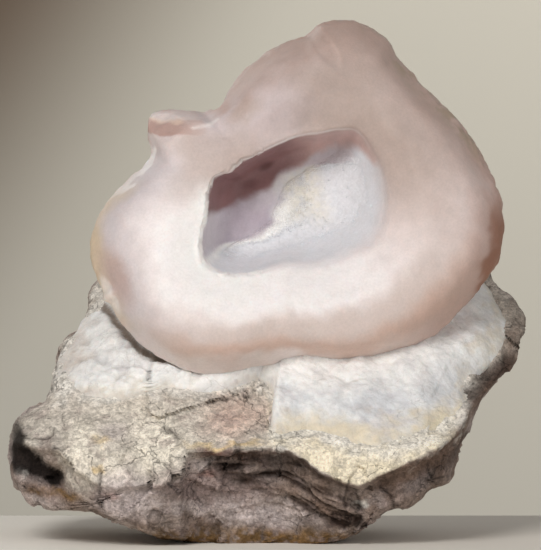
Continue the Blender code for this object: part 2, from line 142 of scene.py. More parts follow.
# %% [markdown]
# ## Patterns in space
#
# Rock breaks along small planes, and chalcedony grows in round buds. One lattice of
# scattered points can give both: read as distances it makes knobs, and read as tilted
# planes it makes facets. Smooth drift adds what is neither. The patterns are read at
# places in space and not along the surface's grid, so no seam or pole shows in them.

# %% Patterns in space
def chance(corner, seed):
    """A repeatable number from 0 to 1 for each whole-numbered corner of a lattice."""
    mixed = (corner[..., 0] * 374761393 + corner[..., 1] * 668265263
             + corner[..., 2] * 1274126177 + seed * 974634777)
    mixed = (mixed ^ (mixed >> 13)) * 1103515245
    mixed = mixed ^ (mixed >> 16)
    return (mixed & 0xFFFF) / 65535.0


def drift(points, size, seed):
    """Smooth noise from -1 to 1: the chances at the eight corners around, blended."""
    scaled = points / size
    low = np.floor(scaled).astype(np.int64)
    part = scaled - low
    ease = part * part * (3.0 - 2.0 * part)
    total = np.zeros(points.shape[:-1])
    for corner in np.ndindex(2, 2, 2):
        weight = np.where(np.array(corner) == 1, ease, 1.0 - ease).prod(axis=-1)
        total += weight * chance(low + np.array(corner), seed)
    return 2.0 * total - 1.0


def layered(points, size, count, seed):
    """Drift in several layers, each half the size and just over half the strength."""
    total = np.zeros(points.shape[:-1])
    for layer in range(count):
        total += drift(points, size / 2.0 ** layer, seed + layer) * 0.55 ** layer
    return total


print("drift at three places:", drift(np.arange(9.0).reshape(3, 3), 2.0, 1).round(2))

# %% Knobs and facets
def nearest_cell(points, size, seed):
    """The offset to the nearest scattered point of a lattice, and that point's corner."""
    scaled = points / size
    low = np.floor(scaled).astype(np.int64)
    best = np.full(points.shape[:-1], 9.0)
    offset = np.zeros(points.shape)
    owner = np.zeros(points.shape, dtype=np.int64)
    for step in np.ndindex(3, 3, 3):
        corner = low + np.array(step) - 1
        spot = corner + np.stack([chance(corner, seed + axis) for axis in range(3)], axis=-1)
        away = scaled - spot
        distance = (away * away).sum(axis=-1)
        closer = distance < best
        best = np.where(closer, distance, best)
        offset = np.where(closer[..., None], away, offset)
        owner = np.where(closer[..., None], corner, owner)
    return best, offset, owner


def knobs(points, size, seed):
    """Rounded knobs: 1 on top of each, falling to 0 in the grooves between them."""
    best, _, _ = nearest_cell(points, size, seed)
    return 1.0 - np.minimum(best, 1.0)


def broken(points, size, seed):
    """Broken facets: each cell of the lattice is a plane with a tilt of its own."""
    _, offset, owner = nearest_cell(points, size, seed)
    tilt = np.stack([chance(owner, seed + 11 + axis) for axis in range(3)], axis=-1)
    return (offset * (2.0 * tilt - 1.0)).sum(axis=-1)


along_x = np.arange(5.0)[:, None] * np.array([1.0, 0.0, 0.0])
print("knobs along a line:", knobs(along_x, 3.0, 1).round(2))

# %% [markdown]
# ## Marks in places of their own
#
# A pattern is alike everywhere, but scars, flat breaks and cracks sit where they sit.
# They are short lists of marks: an oval for a scar, a cutting plane for a break
# and a path for a crack. Each mark gives a share from 0 to 1 at every point, so the same
# mark can press the surface in and colour it.

# %% Scars, breaks and grooves
def pressed(across, up, scars, inner=0.6, outer=1.1):
    """How deep the listed scars are at each place: flat in the middle, eased at the edge.

    A scar is (middle across, middle up, half length, half width, slope in degrees, depth).
    """
    depth = np.zeros(np.broadcast(across, up).shape)
    for middle_across, middle_up, half_length, half_width, slope, deep in scars:
        lean = np.radians(slope)
        along = (across - middle_across) * np.cos(lean) + (up - middle_up) * np.sin(lean)
        beside = (up - middle_up) * np.cos(lean) - (across - middle_across) * np.sin(lean)
        away = np.hypot(along / half_length, beside / half_width)
        depth = depth + deep * (1.0 - eased(away, inner, outer))
    return depth


def sliced(grid, breaks):
    """Break chips off along planes; also tell what lies on a break and what on its edge.

    A break is a point on its plane, the plane's outward direction, how far it reaches and
    how softly it starts. What stands beyond the plane is pushed back to it, and a little
    further, so the break is faintly hollow.
    """
    fresh = np.zeros(grid.shape[:-1])
    edges = np.zeros(grid.shape[:-1])
    for point, direction, far, soft in breaks:
        direction = np.array(direction) / np.linalg.norm(direction)
        near = 1.0 - eased(np.linalg.norm(grid - np.array(point), axis=-1), 0.7 * far, far)
        over = (grid - np.array(point)) @ direction + 0.2 * layered(grid, 3.0, 3, 301)
        edges = np.maximum(edges, near * np.exp(-(over / 0.10) ** 2) * (soft < 0.5))
        over = 0.5 * (over + np.hypot(over, soft)) * near * eased(over, -2.0, 0.0)
        grid = grid - (1.05 * over)[..., None] * direction
        fresh = np.maximum(fresh, eased(over, 0.0, 0.12 + soft))
    return grid, fresh, edges


def groove(across, up, path, width, inner=0.0):
    """1 along a path of points as far as the inner distance, falling to 0 at the width."""
    nearest = np.full(np.broadcast(across, up).shape, 99.0)
    for (x0, z0), (x1, z1) in zip(path[:-1], path[1:]):
        run = np.clip(((across - x0) * (x1 - x0) + (up - z0) * (z1 - z0))
                      / ((x1 - x0) ** 2 + (z1 - z0) ** 2), 0.0, 1.0)
        nearest = np.minimum(nearest, np.hypot(across - x0 - run * (x1 - x0),
                                               up - z0 - run * (z1 - z0)))
    return 1.0 - eased(nearest, inner, width)


print("a groove 3 mm wide:", groove(np.arange(4.0), 0.0, [(0.0, 0.0), (0.0, 1.0)], 3.0).round(2))

# %% [markdown]
# ## Colours at each point
#
# The broad colours of the stone follow its shape: a scar is pale, a groove is dark and an
# edge is rusty. So they are worked out point by point beside the shape, as washes laid
# over each other in turn, like thin glazes of paint. A wash is a tone and a share.

# %% Tones and washes
def paint(red, green, blue):
    """A colour as the eye reads it, 0 to 255, turned into light strengths."""
    shade = np.array([red, green, blue]) / 255.0
    return np.where(shade <= 0.04045, shade / 12.92, ((shade + 0.055) / 1.055) ** 2.4)


def washed(tint, colour, share):
    """Lay a colour over a tint, by a share from 0 to 1 at each point."""
    share = np.clip(share, 0.0, 1.0)[..., None]
    return tint * (1.0 - share) + colour * share


def coated(tint, tones, coats):
    """Lay named tones over a tint one after another, each by its own share."""
    for tone, share in coats:
        tint = washed(tint, tones[tone], share)
    return tint


def patched(tint, tones, patches, across, up, inner=0.3, outer=1.3):
    """Lay soft oval patches of named tones over a tint, each by its own share.

    A patch is a tone and then what a scar has, with the share in the place of the depth.
    """
    for tone, *patch in patches:
        tint = washed(tint, tones[tone], pressed(across, up, [patch], inner, outer))
    return tint


print("mid grey as light:", paint(128, 128, 128).round(3))

# %% [markdown]
# ## From a grid to a mesh
#
# Each closed piece is a grid: its rows are rings that run from a pole in front to a pole
# behind, and its columns are turns round the middle. Blender takes such a grid fastest
# as flat lists of corners. The last column joins the first and each pole is one point, so
# the mesh has no open seam, and its tint goes with it as an attribute for the material.

# %% From a grid to a mesh
# The shapes are drawn about their own middle, and this brings them to the solids' place
STAND_SHIFT = np.array([0.21, 0.98, 0.0])


def outward(grid):
    """Unit normals of a grid: its run from front pole to back pole crossed with its turn."""
    along = np.gradient(grid, axis=0)
    around = np.roll(grid, -1, axis=1) - np.roll(grid, 1, axis=1)
    normal = np.cross(along, around)
    length = np.linalg.norm(normal, axis=-1, keepdims=True)
    normal = normal / np.where(length == 0.0, 1.0, length)
    normal[0] = normal[1].mean(axis=0)
    normal[-1] = normal[-2].mean(axis=0)
    return normal


def ring_faces(rows, count):
    """Corner numbers of the quads and pole triangles of a closed grid, facing outwards."""
    here = np.arange(count)
    ahead = (here + 1) % count
    start = 1 + np.arange(rows - 3)[:, None] * count
    quads = np.stack([start + here, start + count + here,
                      start + count + ahead, start + ahead], axis=-1).reshape(-1, 4)
    last = 1 + (rows - 2) * count
    final = last - count
    front = np.stack([0 * here, 1 + here, 1 + ahead], axis=-1)
    back = np.stack([last + 0 * here, final + ahead, final + here], axis=-1)
    return quads, np.concatenate([front, back])


print("a grid of 4 rings and 3 turns has", len(ring_faces(4, 3)[0]), "quads")


# %% A mesh and its tint
def loose_mesh(name, points, quads, triangles, tint):
    """A smooth mesh from corner numbers, with a tint at each point."""
    mesh = bpy.data.meshes.new(name)
    corners = np.concatenate([quads.ravel(), triangles.ravel()]).astype(np.int32)
    starts = np.concatenate([np.arange(len(quads)) * 4,
                             len(quads) * 4 + np.arange(len(triangles)) * 3])
    mesh.vertices.add(len(points))
    mesh.vertices.foreach_set("co", (points * MM).ravel().astype(np.float32))
    mesh.loops.add(len(corners))
    mesh.loops.foreach_set("vertex_index", corners)
    mesh.polygons.add(len(quads) + len(triangles))
    mesh.polygons.foreach_set("loop_start", starts.astype(np.int32))
    mesh.update(calc_edges=True)
    mesh.validate()
    mesh.shade_smooth()
    layer = mesh.attributes.new("tint", "FLOAT_COLOR", "POINT")
    rgba = np.concatenate([tint, np.ones((len(tint), 1))], axis=1)
    layer.data.foreach_set("color", rgba.ravel().astype(np.float32))
    piece = bpy.data.objects.new(name, mesh)
    bpy.context.scene.collection.objects.link(piece)
    print(name, len(points), "points,", 2 * len(quads) + len(triangles), "triangles")
    return piece


def with_poles(values):
    """A grid's values as one list: the front pole, the rings between, the back pole."""
    front = values[0].mean(axis=0, keepdims=True)
    back = values[-1].mean(axis=0, keepdims=True)
    return np.concatenate([front, values[1:-1].reshape(-1, values.shape[-1]), back])


def ringed_piece(name, grid, tint):
    """A closed piece from rings of points, its first and last ring drawn in to poles."""
    quads, triangles = ring_faces(*grid.shape[:2])
    return loose_mesh(name, with_poles(grid) + STAND_SHIFT, quads, triangles, with_poles(tint))


print("poles and rings of a small grid:", with_poles(np.zeros((4, 3, 3))).shape)

# %% [markdown]
# ## Finishes
#
# All four materials are stone, but light treats them differently. Chalcedony is so
# fine-grained that light sinks in and glows back, which the shader's subsurface part
# does. The rock stops light at its skin. Every finish takes its broad colours from the
# piece's own tint, and adds its finest grain by textures on Object coordinates, which
# stay with the stone and need no unwrapping.

# %% Nodes by name
def node(tree, kind, **inputs):
    """A shader node whose inputs are set by name, each to a value or to an output."""
    made = tree.nodes.new("ShaderNode" + kind)
    for label, value in inputs.items():
        socket = made.inputs[label.replace("_", " ")]
        if isinstance(value, bpy.types.NodeSocket):
            tree.links.new(value, socket)
        else:
            socket.default_value = value
    return made


def scaled(tree, colour, factor):
    """A colour brightened or darkened by a factor."""
    shade = node(tree, "VectorMath", Vector=colour)
    shade.operation = "SCALE"
    tree.links.new(factor, shade.inputs["Scale"])
    return shade.outputs["Vector"]


def bumped(tree, height, depth, skin, invert=False):
    """A surface tilted by a height of the given depth in millimetres, over an earlier one."""
    relief = node(tree, "Bump", Height=height, Strength=1.0, Distance=depth * MM)
    relief.invert = invert
    if skin:
        tree.links.new(skin, relief.inputs["Normal"])
    return relief.outputs["Normal"]


def new_finish(name):
    """A material with nodes: itself, its node tree and its main shader."""
    finish = bpy.data.materials.new(name)
    finish.use_nodes = True
    return finish, finish.node_tree, finish.node_tree.nodes["Principled BSDF"]


# %% [markdown]
# ### Hair cracks
#
# Fine cracks run along the walls between blocks of stone, and they come and go. They are
# far thinner than the mesh can show. A Voronoi texture gives the distance to the nearest
# wall, one noise bends the walls and another lets a crack be wide here and shut there.

# %% Hair cracks in nodes
def hair_cracks(tree, spot, colour, skin, size, width, darkness, depth):
    """Thin dark lines along the walls between scattered cells, bent and broken up by noise."""
    bend = node(tree, "TexNoise", Vector=spot, Scale=1.0 / (0.3 * size * MM), Detail=3.0)
    pushed = node(tree, "VectorMath", Vector=bend.outputs["Color"])
    pushed.operation = "MULTIPLY_ADD"
    pushed.inputs[1].default_value = (0.5 * size * MM,) * 3
    tree.links.new(spot, pushed.inputs[2])
    walls = node(tree, "TexVoronoi", Vector=pushed.outputs["Vector"], Scale=1.0 / (size * MM))
    walls.feature = "DISTANCE_TO_EDGE"
    patchy = node(tree, "TexNoise", Vector=spot, Scale=1.0 / (1.6 * size * MM), Detail=2.0)
    opened = node(tree, "MapRange", Value=patchy.outputs["Fac"], From_Min=0.50, From_Max=0.68,
                  To_Min=0.002, To_Max=width / size)
    line = node(tree, "MapRange", Value=walls.outputs["Distance"],
                From_Max=opened.outputs["Result"], To_Min=1.0 - darkness, To_Max=1.0)
    return (scaled(tree, colour, line.outputs["Result"]),
            bumped(tree, line.outputs["Result"], depth, skin))


# %% [markdown]
# ### One recipe for every stone
#
# The four finishes differ only in numbers, so one function builds them all. It lays grain
# in a few sizes over the tint: soft cloudy noise, and grit with an edge to each grain.
# Each size swings the brightness and tilts the skin, and the last also makes the polish
# uneven, because a stone's skin never shines alike all over.

# %% A stone finish in nodes
GRAIN_OUTPUTS = {"Noise": ("Fac", "Fac"), "Voronoi": ("Color", "Distance")}
POLISH_SWING = 0.08


def stone_finish(name, roughness, grains, shine=0.5, sink=0.0, sink_depth=0.0, hairs=None):
    """Stone that reads the piece's tint, with layers of grain in its colour and its skin.

    Each grain is (kind, size, swing of its brightness, depth), with lengths in millimetres.
    The kind "Noise" is soft and cloudy, and "Voronoi" is grit with an edge to each grain.
    Hairs are thin dark cracks between blocks, as (block size, width, darkness, depth).
    """
    finish, tree, shader = new_finish(name)
    shader.inputs["Specular IOR Level"].default_value = shine
    shader.inputs["Subsurface Weight"].default_value = sink
    shader.inputs["Subsurface Scale"].default_value = sink_depth * MM
    shader.inputs["Subsurface Radius"].default_value = (1.0, 0.7, 0.6)

    spot = node(tree, "TexCoord").outputs["Object"]
    tint = node(tree, "Attribute")
    tint.attribute_name = "tint"
    colour = tint.outputs["Color"]
    skin = None
    for kind, size, swing, depth in grains:
        grain = node(tree, "Tex" + kind, Vector=spot, Scale=1.0 / (size * MM))
        if kind == "Noise":
            grain.inputs["Detail"].default_value = 4.0
            grain.inputs["Roughness"].default_value = 0.62
        tone, height = [grain.outputs[label] for label in GRAIN_OUTPUTS[kind]]
        spread = node(tree, "MapRange", Value=tone, From_Min=0.33, From_Max=0.67,
                      To_Min=1.0 - swing, To_Max=1.0 + swing)
        colour = scaled(tree, colour, spread.outputs["Result"])
        skin = bumped(tree, height, depth, skin, kind == "Voronoi")
    if hairs:
        colour, skin = hair_cracks(tree, spot, colour, skin, *hairs)
    polish = node(tree, "MapRange", Value=tone, To_Min=roughness - POLISH_SWING,
                  To_Max=roughness + POLISH_SWING)
    tree.links.new(colour, shader.inputs["Base Color"])
    tree.links.new(skin, shader.inputs["Normal"])
    tree.links.new(polish.outputs["Result"], shader.inputs["Roughness"])
    return finish


rock_finish = stone_finish("rough_rock", 0.88, [
    ("Noise", 2.4, 0.10, 0.85), ("Voronoi", 0.6, 0.15, 0.14), ("Noise", 0.35, 0.22, 0.14)],
    shine=0.2, hairs=(7.0, 0.20, 0.5, 0.25))
crust_finish = stone_finish("pale_chalcedony", 0.5, [
    ("Noise", 2.6, 0.04, 0.35), ("Voronoi", 0.9, 0.03, 0.08), ("Noise", 0.3, 0.05, 0.04)],
    sink=0.2, sink_depth=0.8, hairs=(9.0, 0.16, 0.2, 0.08))
bowl_finish = stone_finish("pink_chalcedony", 0.5, [
    ("Noise", 2.6, 0.035, 0.09), ("Noise", 0.4, 0.045, 0.03)],
    shine=0.35, sink=0.4, sink_depth=1.4)
druse_finish = stone_finish("sugary_quartz", 0.45, [
    ("Noise", 1.2, 0.05, 0.12), ("Voronoi", 0.4, 0.03, 0.05)], sink=0.12, sink_depth=0.5)
print("finishes:", [finish.name for finish in bpy.data.materials])


# %% [markdown]
# ## The rock
#
# A loose lump of volcanic rock: an upper slope where the crust grew, a ledge that breaks
# off below it, a dark cavity in its left knob and broken faces underneath. It could be
# sculpted, but numbers are easier to mend. The front skin is one height field, so slope,
# ledge, cavity and recess are terms of a sum, and the outline gives the side walls.

# %% The rock's outline and ledge
ROCK_CENTRE = (0.0, 18.7)
ROCK_OUTLINE = [
    (-31.3, 24.5), (-32.5, 20.1), (-33.3, 17.5), (-36.4, 14.9), (-37.8, 10.5),
    (-39.0, 5.4), (-43.4, 2.6), (-45.0, -1.4), (-45.0, -7.0), (-42.4, -11.5),
    (-38.5, -13.1), (-34.1, -12.6), (-27.1, -14.4), (-22.8, -16.1), (-12.3, -18.9),
    (-9.6, -19.6), (8.0, -19.6), (15.8, -16.4), (20.1, -13.1), (25.4, -11.7),
    (28.0, -9.1), (31.5, -7.9), (32.4, -4.4), (35.0, 0.9), (37.6, 6.1), (40.3, 8.8),
    (42.9, 11.4), (44.1, 14.9), (45.0, 19.3), (42.9, 22.4), (40.3, 24.5), (38.5, 28.0),
    (20.0, 27.5), (0.0, 26.5), (-16.0, 26.0),
]
LEDGE_LINE = [
    (-45.0, 17.3), (-36.8, 17.0), (-34.0, 14.3), (-28.0, 10.9), (-15.5, 11.4),
    (-14.0, 16.4), (-5.0, 16.6), (1.8, 17.0), (5.3, 15.6), (8.8, 13.2), (11.4, 12.2),
    (14.0, 11.2), (15.6, 11.0), (17.2, 11.8), (19.3, 12.8), (25.7, 15.6), (32.2, 19.4),
    (35.0, 24.0), (45.0, 31.0),
]
LEDGE_DROP = [(-45.0, 1.5), (-28.0, 1.2), (-15.0, 1.6), (-12.0, 3.6), (0.0, 4.8),
              (12.0, 4.0), (20.0, 2.0), (30.0, 2.4), (45.0, 2.0)]
print("the ledge is", min(up for _, up in LEDGE_LINE), "to", max(up for _, up in LEDGE_LINE), "mm up")

# %% Measures of the front skin
# Where the upper slope and the lower face start, and how far each runs back for its height
LEDGE_FRONT = -24.0
SLOPE_FOOT = 17.0
SLOPE_RUN = 1.46
FOOT_RUN = 0.45
UNDER_RUN = 0.27
LEDGE_SOFTNESS = 1.4
# The slope rounds over at the top, and the sides turn back
TOP_START = 38.0
TOP_ROUNDING = 0.02
SIDE_START = 26.0
SIDE_RUN = 0.25
ROCK_BACK = 20.5
TOP_BACK = 2.5
# The cavity in the left knob and the recess under the right lobe, as paths
CAVITY = [(-45.6, 19.2), (-44.8, 15.8), (-41.8, 14.2), (-39.4, 12.6), (-37.2, 11.6)]
CAVITY_DEPTH = 4.5
OVERHANG = [(34.6, 25.4), (37.6, 28.0), (41.6, 30.4)]
OVERHANG_DEPTH = 1.6
# The long cracks, each with its width
CRACKS = [
    (0.36, [(-11.0, 24.5), (-7.9, 24.8), (-5.2, 25.1), (-3.1, 26.0), (-1.4, 26.9), (0.0, 27.6)]),
    (0.60, [(-18.0, 20.0), (-16.8, 19.5), (-15.8, 18.5), (-15.6, 17.4)]),
    (0.36, [(-29.1, 13.2), (-29.3, 10.5), (-29.0, 7.4)]),
    (0.32, [(-37.0, 17.2), (-34.5, 15.6), (-34.0, 13.0)]),
    (0.32, [(-43.4, 19.4), (-41.0, 18.0), (-38.6, 18.4), (-37.4, 20.0)]),
    (0.45, [(14.7, 10.3), (15.2, 8.0), (15.4, 5.6), (15.0, 3.0)]),
    (0.40, [(27.1, 14.2), (28.0, 11.2), (30.2, 12.0)]),
    (0.40, [(19.0, 10.4), (21.4, 7.6), (21.0, 5.4)]),
    (0.40, [(-10.6, 14.6), (-10.2, 12.6), (-8.4, 11.6)]),
]
# The dark streaks between the plates under the ledge
STREAKS = [(-8.0, 14.6), (-3.0, 12.4), (2.0, 10.6), (7.0, 8.2), (13.6, 5.0)]
print("the rock has", len(CRACKS), "long cracks")


# %% The rock's front skin
def cavity_width(across, inner_end):
    """Half the cavity's width: wide at its mouth on the left, less at its inner end."""
    return mix(3.6, inner_end, eased(across, -44.0, -38.0))


def rock_front(across, up, chipped=1.0):
    """How far back the rock's front skin is: an upper slope, a ledge and a lower face.

    The chips are facets on it, at full strength on bare rock and weaker under the crust.
    """
    ledge = line_value(LEDGE_LINE, across)

    def slope(level):
        """The upper slope, steeper at its foot and rounded over at its top."""
        run = np.where(level > SLOPE_FOOT, SLOPE_RUN, FOOT_RUN)
        return (LEDGE_FRONT + run * (level - SLOPE_FOOT)
                - TOP_ROUNDING * np.maximum(level - TOP_START, 0.0) ** 2)

    under = slope(ledge) + line_value(LEDGE_DROP, across) + UNDER_RUN * (ledge - up)
    turned_back = SIDE_RUN * np.maximum(np.abs(across) - SIDE_START, 0.0)
    spot = np.stack([across, 0.0 * across, up], axis=-1)
    chips = 1.5 * broken(spot, 12.0, 61) + 0.5 * drift(spot, 6.0, 71)
    chips = chips * (1.0 - 0.8 * eased(up, 32.0, 44.0))
    return (mix(slope(up), under, below_ledge(across, up)) + turned_back
            + CAVITY_DEPTH * groove(across, up, CAVITY, cavity_width(across, 2.4), 0.8)
            + OVERHANG_DEPTH * groove(across, up, OVERHANG, 2.0, 0.5) - chipped * chips)


def below_ledge(across, up):
    """1 well under the ledge, 0 on the slope above it."""
    return eased(line_value(LEDGE_LINE, across) - up, 0.0, LEDGE_SOFTNESS)


def shelf_share(across, up):
    """1 on the cream shelf that lies above the ledge, right of the middle."""
    above = up - line_value(LEDGE_LINE, across)
    return (eased(above, -0.3, 0.3) * (1.0 - eased(above, 5.0, 9.0))
            * eased(across, -1.0, 1.0) * (1.0 - eased(across, 29.0, 34.0)))


def foliation(grid):
    """Thin rock plates that follow the ledge: drift stretched out along its line."""
    depth = line_value(LEDGE_LINE, grid[..., 0]) - grid[..., 2]
    spot = np.stack([0.14 * grid[..., 0], 0.3 * grid[..., 1], depth + 0.2 * grid[..., 1]], axis=-1)
    return layered(spot, 1.1, 4, 311)


heights = np.array([6.0, 14.0, 20.0, 35.0])
print("the front skin at the middle:", rock_front(0.0 * heights, heights).round(1))

# %% [markdown]
# ### Where the pale crust lies
#
# The crust is a piece of its own, but the rock has to know its outline: the rock lies a
# little lower under the crust, and its skin is dusted white round it.

# %% The crust's outline
CRUST_CENTRE = (3.5, 34.5)
CRUST_OUTLINE = [
    (-40.3, -2.1), (-39.9, -6.1), (-35.9, -9.1), (-29.8, -9.6), (-22.8, -8.4),
    (-15.8, -8.8), (-9.6, -7.9), (-5.4, -6.7), (-3.9, -7.9), (-2.9, -10.6),
    (-3.5, -12.8), (-2.8, -15.8), (1.8, -15.2), (7.0, -15.8), (11.4, -16.6),
    (17.2, -17.4), (22.2, -15.6), (27.0, -13.6), (30.2, -11.4), (31.6, -7.4),
    (34.2, -4.8), (37.0, -1.4), (38.2, 3.5), (37.2, 7.0), (34.0, 10.5), (16.5, 10.2),
    (-3.5, 9.6), (-18.5, 9.0), (-32.5, 8.0), (-36.1, 4.4),
]


def crust_share(across, up):
    """How far out in the crust's outline a place is: 0 in its middle, 1 on its edge."""
    side = across - CRUST_CENTRE[0]
    rise = up - CRUST_CENTRE[1]
    return np.hypot(side, rise) / reach(CRUST_OUTLINE, np.arctan2(rise, side))


print("the crust reaches", reach(CRUST_OUTLINE, np.radians([0.0, 180.0])).round(1), "mm right and left")

# %% [markdown]
# ### The rock's surface
#
# The grid's rings run from the middle of the front out to the outline, over the side wall
# and in again behind. Facets in four sizes break it up: large ones first, and then the
# fine ones along the new normals. The cream shelf on the right is crumbly, so it gets
# small knobs, and the face under the ledge gets thin plates. Columns at even angles would
# lie far apart and slanting where the outline points at the middle, and would show there
# as a comb of ridges, so most of the spacing goes by the length of the outline.

# %% Columns along an outline
EVEN_SHARE = 0.75
OUTLINE_STEPS = 3600
ROCK_COLUMNS = 520


def along_edge(outline, count):
    """Turns between even angles and even steps along the outline."""
    fine = full_turn(OUTLINE_STEPS)
    edge = reach(outline, fine)
    corner = np.stack([edge * np.cos(fine), edge * np.sin(fine)], axis=-1)
    step = np.linalg.norm(np.roll(corner, -1, axis=0) - corner, axis=-1)
    walked = np.concatenate([[0.0], np.cumsum(step)]) / step.sum()
    even = np.interp(full_turn(count) / (2.0 * np.pi), walked,
                     np.append(fine, fine[0] + 2.0 * np.pi))
    return mix(full_turn(count), even, EVEN_SHARE)


rock_turns = along_edge(ROCK_OUTLINE, ROCK_COLUMNS)
print("columns are", np.degrees(np.diff(rock_turns)).min().round(2), "to",
      np.degrees(np.diff(rock_turns)).max().round(2), "degrees apart")

# %% The rock's surface
ROCK_PROFILE = [
    (0.0, 0.0), (0.3, 0.0), (0.6, 0.0), (0.8, 0.0), (0.96, 0.02), (1.0, 0.2),
    (0.99, 0.5), (0.95, 0.82), (0.85, 1.0), (0.5, 1.0), (0.0, 1.0),
]


def rock_form(turns, where):
    """The rock's large form: front skin, side walls and back, with its largest facets.

    Each ring is a share of the outline, and its run goes from 0 in front to 1 behind.
    """
    edge = reach(ROCK_OUTLINE, turns)
    rings = through_rings(ROCK_PROFILE, where)
    share = rings[:, :1]
    run = np.clip(rings[:, 1:], 0.0, 1.0)
    across = ROCK_CENTRE[0] + share * edge * np.cos(turns)
    up = ROCK_CENTRE[1] + share * edge * np.sin(turns)
    front = rock_front(across, up)
    back = ROCK_BACK + TOP_BACK * eased(up, 20.0, 46.0) + 1.0 - share
    grid = np.stack([across, mix(front, back, run), up], axis=-1)
    chips = 2.2 * broken(grid, 15.0, 65) + 0.7 * drift(grid, 6.0, 75)
    thin = eased(back - front, 4.0, 16.0)
    chips = chips * eased(run, 0.1, 0.5) * mix(0.15, 1.0, thin)
    wall = eased(run, 0.1, 0.3) * (1.0 - eased(run, 0.9, 1.0))
    chips = np.where(chips > 0.0, chips * (1.0 - 0.85 * wall), chips)
    return grid + outward(grid) * chips[..., None], across, up, run, thin


def rock_surface(turns, where):
    """The rock's form with fine facets, plates, crumbs and cracks along its normals."""
    grid, across, up, run, thin = rock_form(turns, where)
    front_share = 1.0 - eased(run, 0.05, 0.25)
    under = below_ledge(grid[..., 0], grid[..., 2]) * front_share
    covered = (1.0 - eased(crust_share(across, up), 0.8, 1.0)) * front_share
    plates = foliation(grid) * mix(0.25, 2.0, groove(across, up, STREAKS, 3.2, 1.4))
    fine = (0.5 * broken(grid, 5.0, 101) + 0.24 * broken(grid, 2.3, 111)
            + 0.12 * broken(grid, 1.1, 115) + 0.16 * layered(grid, 2.0, 4, 121)
            + 0.5 * under * plates)
    bent_across = across + 0.4 * drift(grid, 1.5, 331)
    bent_up = up + 0.4 * drift(grid, 1.5, 341)
    cracked = front_share * sum(groove(bent_across, bent_up, crack, width)
                                for width, crack in CRACKS)
    fine = fine * mix(0.5, 1.0, thin) * (1.0 - 0.8 * covered) - 0.18 * cracked
    behind = eased(run, 0.3, 0.7) * thin
    fine = fine * (1.0 + 0.9 * behind) + 0.5 * behind * broken(grid, 8.0, 105)
    lumpy = 0.6 * (knobs(grid, 2.8, 107) - 0.5) + 0.25 * (knobs(grid, 1.4, 109) - 0.5)
    fine = mix(fine, lumpy, 0.8 * shelf_share(across, up) * front_share)
    fine = fine - 0.3 * covered
    fine[0] = fine[0].mean()
    fine[-1] = fine[-1].mean()
    grid = grid + outward(grid) * fine[..., None]
    grid[..., 2] = np.maximum(grid[..., 2], 0.0)
    return grid, run + 0.0 * across, cracked, fine


rock_grid, rock_run, rock_cracked, rock_relief = rock_surface(
    rock_turns, places((4.0, 92), (8.0, 54), (10.0, 36)))
print("rock from", rock_grid.min(axis=(0, 1)).round(1), "to", rock_grid.max(axis=(0, 1)).round(1))
